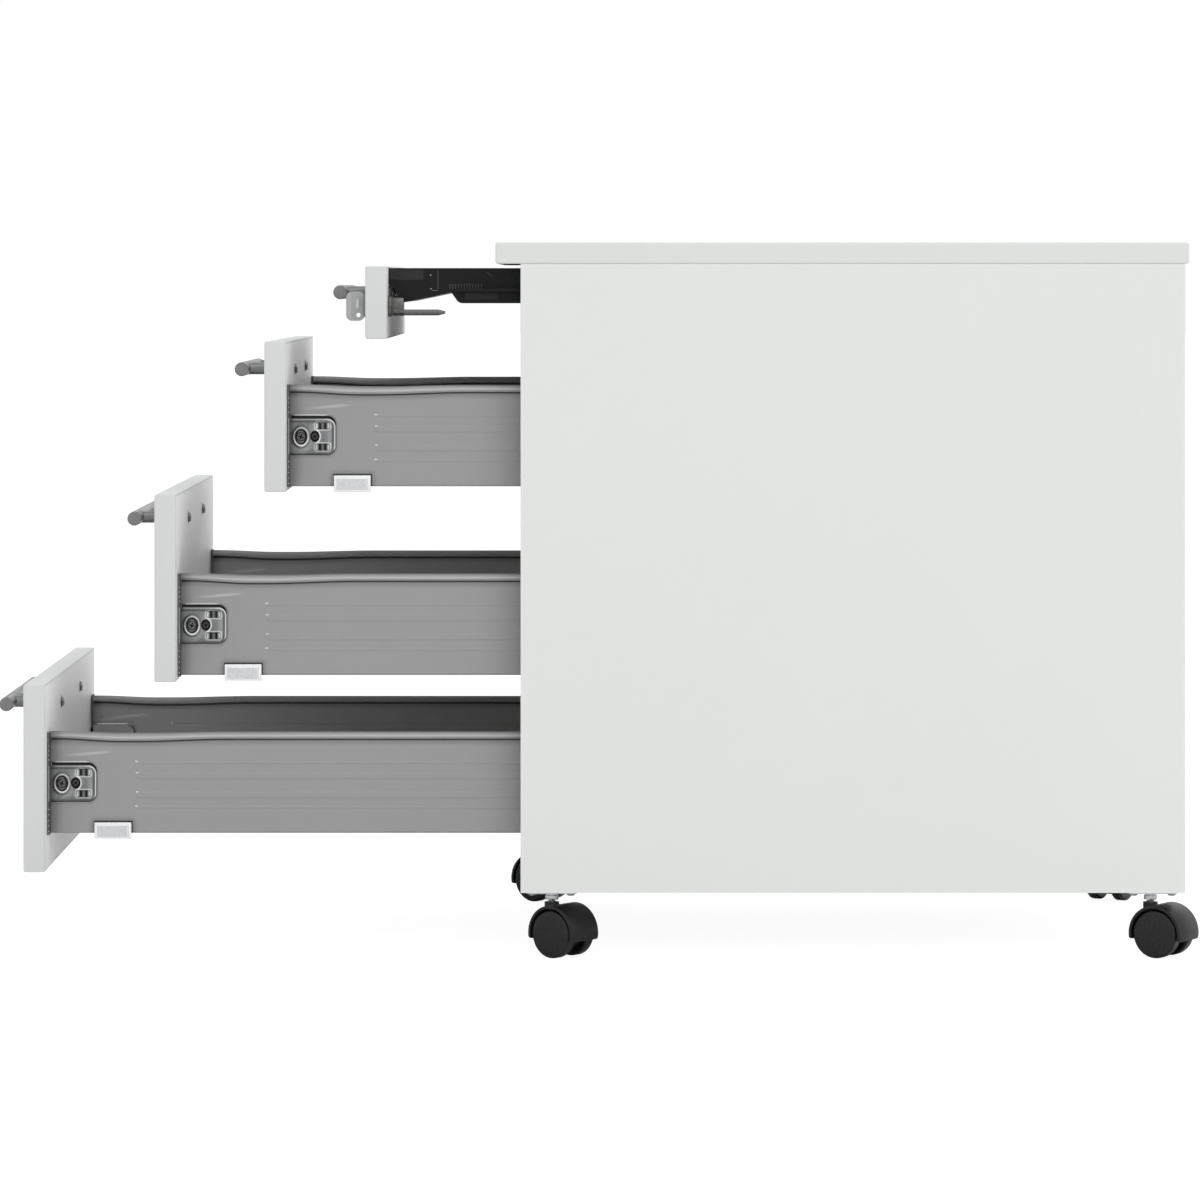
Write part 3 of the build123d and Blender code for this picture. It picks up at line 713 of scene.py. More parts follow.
def refined(node: str, name: str, material: Material, ease: float = 0.0, painted_facing_shade: float = 0.0) -> Piece:
    """Copy a node's shape as one welded mesh, with its round faces smooth and its sharp edges eased.

    Args:
        node: The node to copy.
        name: The copy's name.
        material: Its finish.
        ease: Width by which sharp edges are eased.
        painted_facing_shade: Painted shade where the finish faces up or down, standing for a dark
            reflection there, 0 to 1.

    Returns:
        The copy.
    """
    crease = 32.0
    bm = bmesh.new()
    bm.from_mesh(frame["nodes"][node].data)
    bmesh.ops.remove_doubles(bm, verts=bm.verts, dist=0.002 * MM)
    bmesh.ops.dissolve_limit(bm, angle_limit=math.radians(0.6), verts=bm.verts, edges=bm.edges)
    if ease:
        edges = [edge for edge in bm.edges if is_sharp(edge, crease)]
        rounding = {"offset": ease, "offset_type": "OFFSET", "segments": 2, "profile": 0.5}
        bmesh.ops.bevel(bm, geom=edges, affect="EDGES", clamp_overlap=True, **rounding)
    layer = bm.verts.layers.float.new("wear")
    bm.normal_update()
    # Painted shade by facing: darker where the surface faces up or down, as a dark reflection.
    for vertex in bm.verts:
        vertex[layer] = -painted_facing_shade * abs(vertex.normal.z)
    mesh = bpy.data.meshes.new(name)
    put_into(bm, mesh, crease)
    mesh.materials.clear()
    mesh.materials.append(material)
    return placed_object(name, mesh)


def ride(piece: Piece, body: str, slot: str, *stands_for: str) -> None:
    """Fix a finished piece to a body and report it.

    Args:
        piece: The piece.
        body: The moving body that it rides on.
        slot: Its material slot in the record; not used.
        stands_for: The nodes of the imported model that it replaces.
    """
    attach(piece, body)
    if stands_for:
        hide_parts(*stands_for)
    LOG.info("%s rides on %s, %d faces", piece.name, body, len(piece.data.polygons))


def dress(node: str, material: Material) -> None:
    """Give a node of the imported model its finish."""
    shape = frame["nodes"][node]
    shape.data.materials.clear()
    shape.data.materials.append(material)
    LOG.info("%s is dressed in %s", node, material.name)


def board_finish(node: str, laminate: Laminate, thin: Along) -> Material:
    """Build a board's laminate, with the edge bands set out from the board's own corners."""
    low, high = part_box(node)
    return laminate.build(f"{node}_laminate", low, high, thin)


def ease_front(body: str) -> None:
    """Replace the front of a drawer by a copy whose outer edges are rounded, in its laminate."""
    node = f"{body}_front"
    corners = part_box(node)
    board = refined(node, f"{node}_board", board_finish(node, FRONT_BOARD, Along.Y))
    bm = bmesh.new()
    bm.from_mesh(board.data)

    def box_sides(vertex: Vertex) -> set[tuple[int, int]]:
        """The sides of the board's box that a corner lies on."""
        sides = ((axis, end) for axis in range(3) for end in range(2))
        return {(axis, end) for axis, end in sides if abs(vertex.co[axis] - corners[end][axis]) < 0.05 * MM}

    outer = [edge for edge in bm.edges if len(box_sides(edge.verts[0]) & box_sides(edge.verts[1])) == 2]
    rounding = {"offset": 1.1 * MM, "segments": 3, "profile": 0.5}
    bmesh.ops.bevel(bm, geom=outer, affect="EDGES", clamp_overlap=True, **rounding)
    put_into(bm, board.data, crease=35.0)
    ride(board, body, "laminate_board", node)


class Repeater:
    """Geometry Nodes that repeat a small part; a subclass says where the copies go."""

    NAME = ""
    SOCKETS: dict[str, str] = {}

    def __init__(self) -> None:
        """Build the tree."""
        self.tree = bpy.data.node_groups.new(self.NAME, "GeometryNodeTree")
        self.identifiers: dict[str, str] = {}
        kinds = {"Guide": "Geometry", "Part": "Object", "Finish": "Material", **self.SOCKETS}
        for label, kind in kinds.items():
            socket = self.tree.interface.new_socket(label, in_out="INPUT", socket_type=f"NodeSocket{kind}")
            self.identifiers[label] = socket.identifier
        self.tree.interface.new_socket("Parts", in_out="OUTPUT", socket_type="NodeSocketGeometry")
        graph = Graph(self.tree)
        given = graph.add("NodeGroupInput").outputs
        part = graph.add("GeometryNodeObjectInfo", {"Object": given["Part"]}, transform_space="ORIGINAL")
        inputs = {"Instance": part.outputs["Geometry"], **self.places(graph, given)}
        copies = graph.add("GeometryNodeInstanceOnPoints", inputs)
        real = graph.add("GeometryNodeRealizeInstances", {"Geometry": copies.outputs[0]})
        inputs = {"Geometry": real.outputs[0], "Material": given["Finish"]}
        graph.add("NodeGroupOutput", {"Parts": graph.add("GeometryNodeSetMaterial", inputs).outputs[0]})

    def places(self, graph: Graph, given: Outputs) -> dict[str, Socket]:
        """Add the nodes that place the copies.

        Args:
            graph: The tree.
            given: Its inputs.

        Returns:
            Inputs for the node that puts an instance on each point.
        """
        raise NotImplementedError

    def run(self, name: str, guide_mesh: bpy.types.Mesh, values: dict[str, object]) -> Piece:
        """Run the tree on a guide and keep the result as a plain mesh.

        Args:
            name: The piece's name.
            guide_mesh: Mesh of the guide.
            values: Values for the tree's inputs.

        Returns:
            The piece.
        """
        guide = placed_object(f"{name}_guide", guide_mesh)
        modifier = guide.modifiers.new("parts", "NODES")
        modifier.node_group = self.tree
        for label, value in values.items():
            modifier[self.identifiers[label]] = value
        graph = bpy.context.evaluated_depsgraph_get()
        graph.update()
        mesh = bpy.data.meshes.new_from_object(guide.evaluated_get(graph))
        mesh.name = name
        piece = placed_object(name, mesh)
        bpy.data.objects.remove(guide)
        return piece


class Scatter(Repeater):
    """Puts a part on every point of a guide, facing the point's own way and turned at random about it."""

    NAME = "part_on_points"
    SOCKETS = {"Size": "Float", "Turn seed": "Int"}

    def places(self, graph: Graph, given: Outputs) -> dict[str, Socket]:
        """Aim each copy along its point's "facing"; see Repeater."""
        facing = graph.add("GeometryNodeInputNamedAttribute", {"Name": "facing"}, data_type="FLOAT_VECTOR")
        way = {"Vector": facing.outputs["Attribute"]}
        aim = graph.add("FunctionNodeAlignRotationToVector", way, axis="Z")
        seed = {"Seed": given["Turn seed"], 3: math.pi}
        turn = graph.add("FunctionNodeRandomValue", seed, data_type="FLOAT")
        axis = {"Axis": (0.0, 0.0, 1.0), "Angle": turn.outputs[1]}
        spin = graph.add("FunctionNodeAxisAngleToRotation", axis)
        both = {"Rotation": aim.outputs[0], "Rotate By": spin.outputs[0]}
        rotation = graph.add("FunctionNodeRotateRotation", both, rotation_space="LOCAL")
        size = graph.add("ShaderNodeCombineXYZ", {axis: given["Size"] for axis in "XYZ"})
        return {"Points": given["Guide"], "Rotation": rotation.outputs[0], "Scale": size.outputs[0]}

    def spread(
        self, name: str, part: Piece, material: Material, points: Sequence[Aimed], size: float, seed: int
    ) -> Piece:
        """Make one piece with a copy of a part at each point.

        Args:
            name: The piece's name.
            part: The part to repeat, made at the origin and facing +Z.
            material: The piece's finish.
            points: Place and facing direction of each copy.
            size: Scale of the copies.
            seed: Seed of the random turn of each copy about its own axis.

        Returns:
            The piece as a plain mesh.
        """
        guide = bpy.data.meshes.new(f"{name}_guide")
        guide.from_pydata([tuple(place) for place, _ in points], [], [])
        facing = guide.attributes.new("facing", "FLOAT_VECTOR", "POINT")
        facing.data.foreach_set("vector", [value for _, way in points for value in way])
        return self.run(name, guide, {"Part": part, "Finish": material, "Size": size, "Turn seed": seed})


class Row(Repeater):
    """Repeats a part along a straight line."""

    NAME = "part_in_a_row"
    SOCKETS = {"Count": "Int", "Start": "Vector", "Step": "Vector"}

    def places(self, graph: Graph, given: Outputs) -> dict[str, Socket]:
        """Put the copies on a line of points; see Repeater."""
        inputs = {"Count": given["Count"], "Start Location": given["Start"], "Offset": given["Step"]}
        return {"Points": graph.add("GeometryNodeMeshLine", inputs, mode="OFFSET").outputs[0]}

    def lay(
        self, name: str, part: Piece, material: Material, count: int, start: Vector, step: Vector
    ) -> Piece:
        """Make one piece of copies in a row.

        Args:
            name: The piece's name.
            part: The part to repeat, made at the origin.
            material: The piece's finish.
            count: Number of copies.
            start: Place of the first copy.
            step: From each copy to the next.

        Returns:
            The piece as a plain mesh.
        """
        guide = bpy.data.meshes.new(f"{name}_guide")
        line = {"Count": count, "Start": tuple(start), "Step": tuple(step)}
        return self.run(name, guide, {"Part": part, "Finish": material, **line})


@dataclass(frozen=True)
class ScrewHead:
    """A pan head with a cross recess, drawn at the origin and facing +Z."""

    radius: float = 3.4 * MM
    rise: float = 1.7 * MM
    cross: float = 1.9 * MM
    bar: float = 0.42 * MM
    recess: float = 1.0 * MM
    floor_share: float = 0.7
    steps: int = 24

    def build(self, name: str, material: Material) -> Piece:
        """Build the head.

        Args:
            name: The object's name.
            material: A stand-in finish, which the tree that repeats it changes.

        Returns:
            The head as an object, to be repeated and then removed.
        """
        draft = Draft()
        chamfer = 0.22 * self.radius
        shoulder = (self.radius, self.rise - chamfer)
        levels = ((self.radius, 0.0), shoulder, (self.radius - chamfer, self.rise))
        rings = [[(*point, height) for point in circle(radius, self.steps)] for radius, height in levels]
        foot, wall, crown = (draft.ring(points) for points in rings)
        draft.join(foot, wall)
        draft.join(wall, crown)
        draft.bm.faces.new(foot[::-1])
        arm, half = self.cross, self.bar
        corners = [(arm, -half), (arm, half), (half, half), (half, arm), (-half, arm), (-half, half)]
        corners += [(-x, -y) for x, y in corners]
        mouth = draft.ring((x, y, self.rise) for x, y in corners)
        deep = self.rise - self.recess
        floor = draft.ring((self.floor_share * x, self.floor_share * y, deep) for x, y in corners)
        # Painted shade: the underside of the head and the floor of the cross recess are near-black.
        for vertex in (*foot, *floor):
            vertex[draft.layer] = -1.0
        draft.join(mouth, floor)
        draft.bm.faces.new(floor)
        loops = [(loop[index - 1], loop[index]) for loop in (crown, mouth) for index in range(len(loop))]
        edges = [draft.bm.edges.get(pair) for pair in loops]
        bmesh.ops.triangle_fill(draft.bm, edges=edges, use_beauty=True)
        return draft.finish(name, material)


class Kit:
    """Small parts, the trees that repeat them, and the handles with their screws."""

    HANDLE_SCREW_X = 80 * MM
    WASHER_FACE = 0.45 * MM

    def __init__(self, palette: Palette) -> None:
        """Build the trees and the parts to repeat."""
        self.palette = palette
        self.scatter = Scatter()
        self.row = Row()
        self.screw = ScrewHead().build("screw_pattern", palette.screw_steel)
        self.washer = self.disc("washer_pattern", 5.3 * MM, 0.5 * MM)
        # The dashes carry a strong painted highlight, the ribs a faint one.
        self.dash = self.bar("dash_pattern", (0.12 * MM, 0.28 * MM, 0.42 * MM), 0.75)
        self.rib = self.bar("rib_pattern", (0.25 * MM, 0.3 * MM, 2.2 * MM), 0.1)

    def bar(self, name: str, half: tuple[float, float, float], wear: float) -> Piece:
        """Build a small bar with eased edges, given half its size on each axis and how much painted
        highlight it carries.
        """
        draft = Draft()
        draft.wear = wear
        x, y, z = half
        draft.slab(rectangle(-x, -y, x, y), -z, z, Matrix.Identity(4), ease=0.1 * MM)
        return draft.finish(name, self.palette.tray_plastic)

    def disc(self, name: str, radius: float, thickness: float) -> Piece:
        """Build a thin washer face with an eased edge, facing +Z."""
        draft = Draft()
        ease = 0.4 * thickness
        profile = [(radius, -ease), (radius, thickness - ease), (radius - ease, thickness)]
        draft.lathe(profile, Matrix.Identity(4), steps=32)
        return draft.finish(name, self.palette.screw_steel)

    def add_screws(
        self,
        body: str,
        name: str,
        places: Iterable[Sequence[float]],
        way: Sequence[float],
        seed: int,
        size: float = 1.0,
        part: Piece | None = None,
        material: Material | None = None,
    ) -> None:
        """Put screws, or washers, on a body.

        Args:
            body: The moving body they ride on.
            name: The piece's name.
            places: Where each goes.
            way: The way they face; its X is turned to a place's own side of the cabinet.
            seed: Seed of their random turns.
            size: Their scale.
            part: What to put there, if not the screw.
            material: Its finish, if not the screw's.
        """
        points = []
        for place in places:
            outwards = way[0] if place[0] > 0 else -way[0]
            points.append((Vector(place), Vector((outwards, way[1], way[2]))))
        material = material or self.palette.screw_steel
        piece = self.scatter.spread(name, part or self.screw, material, points, size, seed)
        ride(piece, body, "zinc_plate")

    def add_handle_screws(self, body: str, seed: int) -> None:
        """Washer-faced screws of a body's bar handle, over their recesses behind its front."""
        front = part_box(f"{body}_front")[1].y
        low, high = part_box(f"{body}_handle")
        kinds = (("washers", self.washer, 0.0, 1.0), ("screws", self.screw, self.WASHER_FACE, 1.22))
        for kind, part, rise, size in kinds:
            level = (low.z + high.z) / 2
            places = [(x, front + rise, level) for x in (-self.HANDLE_SCREW_X, self.HANDLE_SCREW_X)]
            self.add_screws(body, f"{body}_handle_{kind}", places, (0, 1, 0), seed, size, part)

    def add_handle(self, body: str) -> None:
        """The bar handle as one smooth piece, with painted shade where it faces up or down."""
        node = f"{body}_handle"
        handle = refined(node, f"{node}_bar", self.palette.handle_steel, 0.3 * MM, painted_facing_shade=0.3)
        ride(handle, body, "satin_steel", node)

    def clear(self) -> None:
        """Remove the parts that were only there to be repeated."""
        for part in (self.screw, self.washer, self.dash, self.rib):
            bpy.data.objects.remove(part)


@dataclass
class Carcass:
    """Boards, runners and guides that stand still."""

    palette: Palette
    kit: Kit
    rail_screw_inset: float = 32 * MM
    rail_screw_drop: float = 11 * MM
    rail_web: float = 1.2 * MM
    plate_inset: float = 21 * MM
    plate_hole: float = 16 * MM
    plate_thickness: float = 2 * MM

    def dress(self) -> None:
        """Give the boards their laminate and the metal its coats."""
        boards = {"top_panel": (TOP_BOARD, Along.Z), "right_side_panel": (BOARD, Along.X)}
        boards |= {"left_side_panel": (BOARD, Along.X), "bottom_panel": (BOARD, Along.Z)}
        for node, (laminate, thin) in (boards | {"back_panel": (BOARD, Along.Y)}).items():
            dress(node, board_finish(node, laminate, thin))
        dress("pen_tray_guides", self.palette.tray_plastic)
        plates = refined("caster_plates", "caster_plate_set", self.palette.plate_zinc, 0.25 * MM)
        ride(plates, "cabinet", "zinc_plate", "caster_plates")
        dress("locking_bar", self.palette.bright_zinc)
        for level in Level:
            dress(f"{level.value}_runner_rails", self.palette.runner_steel)

    def add_rail_screws(self) -> None:
        """Screws that hold each rail's web to the side boards."""
        for level in Level:
            low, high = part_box(f"{level.value}_runner_rails")
            web, height = high.x - self.rail_web, high.z - self.rail_screw_drop
            inset = self.rail_screw_inset
            stations = (low.y + inset, (low.y + high.y) / 2, high.y - inset)
            places = [(side.value * web, station, height) for side in Side for station in stations]
            name = f"{level.value}_rail_screws"
            self.kit.add_screws("cabinet", name, places, (-1, 0, 0), seed=11, size=0.9)

    def add_plate_screws(self) -> None:
        """Screws that hold the caster plates, four to a plate."""
        low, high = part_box("caster_plates")
        inset, hole = self.plate_inset, self.plate_hole
        under = high.z - self.plate_thickness
        centres = [(x, y) for x in (low.x + inset, high.x - inset) for y in (low.y + inset, high.y - inset)]
        holes = [(dx, dy) for dx in (-hole, hole) for dy in (-hole, hole)]
        places = [(x + dx, y + dy, under) for x, y in centres for dx, dy in holes]
        self.kit.add_screws("cabinet", "caster_plate_screws", places, (0, 0, -1), seed=5)

    def build(self) -> None:
        """Dress and complete the carcass."""
        self.dress()
        self.add_rail_screws()
        self.add_plate_screws()


@dataclass(frozen=True)
class Relief:
    """Pressed relief and painted light of a steel drawer side, in mm behind and above its lower front
    corner.

    Each bead has its level, half its width and its rise. Each painted highlight and painted shade has its
    weight in the painted light, which runs from -1, painted shade, to 1, painted highlight.
    """

    beads: tuple[tuple[float, float, float], ...] = (
        (32.5, 3.2, 0.5), (48.5, 3.2, 0.5), (21.8, 1.4, 0.4), (59.6, 1.4, 0.4),
    )
    bead_start: float = 73.4
    bead_end: float = 462.0
    bead_flank: float = 1.1
    tip_radius: float = 0.75
    tip_trail: float = 3.2
    recess_end: float = 41.0
    recess_low: float = 26.0
    recess_high: float = 60.0
    recess_depth: float = 4.0
    recess_radius: float = 8.0
    recess_wall: float = 1.5
    lip_rise: float = 0.35
    crease_rise: float = 0.35
    crease_slope: float = 0.1
    rim_dip: float = 1.6
    under_dip: float = 2.4
    rim_level: float = 82.6
    groove_level: float = 79.6
    groove_depth: float = 0.6
    catch_front: float = 38.6
    catch_rear: float = 70.6
    catch_top: float = 10.3
    # Weights of painted highlights on the recess's lip, the crease and the rim, and of painted shade in the
    # recess, in the groove under the rim and below it, along the top and front edges, at the recess's edge
    # and round the catch.
    recess_lip_highlight: float = 1.1
    crest_highlight: float = 0.34
    recess_shade: float = 0.92
    groove_shade: float = 0.9
    under_rim_shade: float = 0.3
    edge_shade: float = 0.4
    recess_edge_shade: float = 0.16
    catch_gap_shade: float = 0.85
    catch_shade_halo: float = 0.2

    def bead(self, y: float, z: float, level: float, half: float, rise: float) -> float:
        """Height of one bead with round ends and short flanks."""
        along = max(self.bead_start + half - y, 0.0, y - self.bead_end + half)
        return rise * smooth(0.0, self.bead_flank, half - math.hypot(along, z - level))

    def tip(self, y: float, z: float) -> float:
        """Painted highlight at the upper front tip of each bead, with a fainter trail behind it, 0 to 1."""
        total = 0.0
        for level, half, _ in self.beads:
            along = y - self.bead_start - 0.25 * half
            stretch, share = (self.tip_trail, 0.6) if along > 0 else (1.0, 1.0)
            away = math.hypot(along / stretch, z - level - 0.75 * half)
            total += share * (1 - smooth(0.3 * self.tip_radius, 1.2 * self.tip_radius, away))
        return min(total, 1.0)

    def wear(self, y: float, z: float, catch: bool) -> float:
        """Painted highlights and painted shade on the sheet.

        Args:
            y: Place behind the front.
            z: Place above the lower edge.
            catch: Whether the lock catch comes through the sheet.

        Returns:
            The painted light, from -1 to 1.
        """
        gap = self.recess_distance(y, z)
        # Painted shade inside the recess; elsewhere painted highlights at the bead tips, the recess's lip,
        # the crease and the rim, and painted shade in the groove, under the rim, at the top and front
        # edges, round the recess and round the catch.
        if gap < -0.4:
            return -self.recess_shade
        over = z - self.recess_high
        lip = smooth(-2.5, -0.5, over) * plateau(4, 7, 30, 37, y) * peak(gap - 0.1, 0.6)
        crest = plateau(8, 34, 44, 56, y) * peak(over - 3.9 - self.crease_slope * y, 0.9)
        crest += peak(z - self.rim_level, 0.9)
        bright = self.tip(y, z) + self.recess_lip_highlight * lip + self.crest_highlight * crest
        dark = self.groove_shade * peak(z - self.groove_level, 0.75)
        dark += self.under_rim_shade * plateau(73, 78.5, 79, 80, z)
        dark += self.edge_shade * (smooth(84.6, 85.8, z) + 1 - smooth(1.5, 14, y))
        dark += self.recess_edge_shade * (1 - smooth(0.3, 3.0, gap))
        if catch:
            away = box_distance(max(self.catch_front - y, y - self.catch_rear), z - self.catch_top)
            dark += self.catch_gap_shade * (1 - smooth(0.0, 0.7, away))
            dark += self.catch_shade_halo * (1 - smooth(0.7, 5, away))
        return min(max(bright - dark, -1.0), 1.0)

    def recess_distance(self, y: float, z: float) -> float:
        """Distance outside the recess's outline, negative inside it."""
        middle = (self.recess_low + self.recess_high) / 2
        out_z = abs(z - middle) - (self.recess_high - middle - self.recess_radius)
        return box_distance(y - self.recess_end + self.recess_radius, out_z) - self.recess_radius

    def outward(self, y: float, z: float) -> float:
        """Outward distance of the sheet at one place."""
        gap = self.recess_distance(y, z)
        total = sum(self.bead(y, z, *bead) for bead in self.beads)
        total -= self.recess_depth * (1 - smooth(-self.recess_wall, 0.0, gap))
        total += self.lip_rise * peak(gap - 0.9, 0.8)
        crease = z - self.recess_high - 3.5 - self.crease_slope * y
        total += self.crease_rise * plateau(4, 12, 38, 60, y) * peak(crease, 1.2)
        return total - self.groove_depth * peak(z - self.groove_level, 0.55)

    def drop(self, y: float, z: float) -> float:
        """How far the rolled top edge and the line under it dip behind the front."""
        along = smooth(8, 60, y) * (1 - 0.8 * smooth(75, 150, y))
        depth = self.under_dip + (self.rim_dip - self.under_dip) * smooth(80, 86, z)
        return depth * along * smooth(64, 80, z)


FOLD = 14 * MM


def side_corner(drawer: str) -> Vector:
    """Lower front corner of the outer face of a drawer's right side, at the back of the drawer's front."""
    low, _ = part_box(f"{drawer}_right_side")
    return Vector((low.x + FOLD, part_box(f"{drawer}_front")[1].y, low.z))


@dataclass(frozen=True)
class SteelSide:
    """Sheet-metal drawer side: a fold under the base, a wall with pressed relief and a rolled top rim."""

    relief: Relief = Relief()
    sheet: float = 1.2 * MM
    fold_radius: float = 1.6 * MM
    rim_radius: float = 2.9 * MM
    rim_proud: float = 1.0 * MM
    rim_turn: float = 275.0
    height: float = 86 * MM
    pin_from_end: float = 12 * MM
    pin_level: float = 25 * MM
    fold_steps: int = 6
    rim_steps: int = 22
    wall_steps: tuple[Point, ...] = (
        (9.5, 2), (12, 0.35), (19.5, 1.8), (36.5, 0.45), (44.5, 1.6), (65, 0.45), (77, 1.3), (INF, 0.25),
    )
    length_steps: tuple[Point, ...] = (
        (31, 1.4), (46, 0.5), (69, 2.6), (80, 0.4), (150, 5), (455, 12), (464, 0.7), (INF, 9),
    )

    def section(self) -> list[Aimed]:
        """Middle line of the sheet from the fold to the rim, as (place, outward normal) in X and Z."""
        half, turn = self.sheet / 2, self.fold_radius
        points: list[Aimed] = []
        for step in range(self.fold_steps):
            x = -FOLD + (FOLD - half - turn) * step / self.fold_steps
            points.append((Vector((x, half)), Vector((0, -1))))
        for step in range(self.fold_steps + 1):
            angle = math.radians(-90 + 90 * step / self.fold_steps)
            way = Vector((math.cos(angle), math.sin(angle)))
            points.append((Vector((-half - turn, half + turn)) + way * turn, way))
        centre = Vector((self.rim_proud - self.rim_radius, self.height - self.rim_radius))
        roll = self.rim_radius - half
        meet = -math.acos((-half - centre.x) / roll)
        for z in divide(half + turn, centre.y + roll * math.sin(meet), self.wall_steps):
            points.append((Vector((-half, z)), Vector((1, 0))))
        for step in range(1, self.rim_steps + 1):
            angle = meet + math.radians(self.rim_turn) * step / self.rim_steps
            way = Vector((math.cos(angle), math.sin(angle)))
            points.append((centre + way * roll, way))
        return points

    def build(self, name: str, drawer: str, material: Material, catch: bool) -> Piece:
        """Build the right side of one drawer.

        Args:
            name: The piece's name.
            drawer: The drawer, whose packed side and front give its place.
            material: Its finish.
            catch: Whether the lock catch comes through it.

        Returns:
            The piece.
        """
        low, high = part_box(f"{drawer}_right_side")
        corner = side_corner(drawer)
        section = self.section()
        half = self.sheet / 2
        wall_low, wall_high = half + self.fold_radius, self.height - 2 * self.rim_radius
        start, end = low.y - corner.y, high.y - corner.y
        rings = []
        for y in (start, *divide(start, end, self.length_steps)):
            outside, inside = [], []
            for place, normal in section:
                at = (y / MM, place.y / MM)
                pressed = wall_low < place.y < wall_high and normal.y == 0
                x = corner.x + place.x + (self.relief.outward(*at) * MM if pressed else 0.0)
                z = corner.z + place.y - self.relief.drop(*at) * MM
                outside.append((x + normal.x * half, corner.y + y, z + normal.y * half))
                inside.append((x - normal.x * half, corner.y + y, z - normal.y * half))
            rings.append(outside + inside[::-1])
        draft = Draft()
        draft.loft(rings, strip_caps=True)
        self.add_pin(draft, Vector((corner.x, high.y - self.pin_from_end, corner.z + self.pin_level)))
        skin = corner.x - self.relief.recess_depth * MM - half

        def wear(place: Vector) -> float:
            """Painted light of the outer face, found at the level that a place has before it dips."""
            if place.x < skin:
                return 0.0
            _, y, z = (place - corner) / MM
            return self.relief.wear(y, z + self.relief.drop(y, z + self.relief.drop(y, z)), catch)

        return draft.finish(name, material, crease=50.0, wear=wear)

    def add_pin(self, draft: Draft, base: Vector) -> None:
        """Add the riveted pin of the rear roller, standing outwards from the wall."""
        profile = [(4.2, -0.6), (4.2, 3.1), (2.5, 3.1), (2.5, 11.7), (4.2, 11.7), (4.2, 12.2), (3.6, 12.5)]
        draft.lathe([(radius * MM, height * MM) for radius, height in profile], facing_x(base), steps=24)


@dataclass(frozen=True)
class Eye:
    """A round feature of the bracket's plate, by its centre and half sizes in (Y, Z), in mm."""

    centre: Point
    half: Point

    def distance(self, y: float, z: float) -> float:
        """Distance outside the feature's outline, negative inside it."""
        reach = math.hypot((y - self.centre[0]) / self.half[0], (z - self.centre[1]) / self.half[1])
        return (reach - 1) * min(self.half)


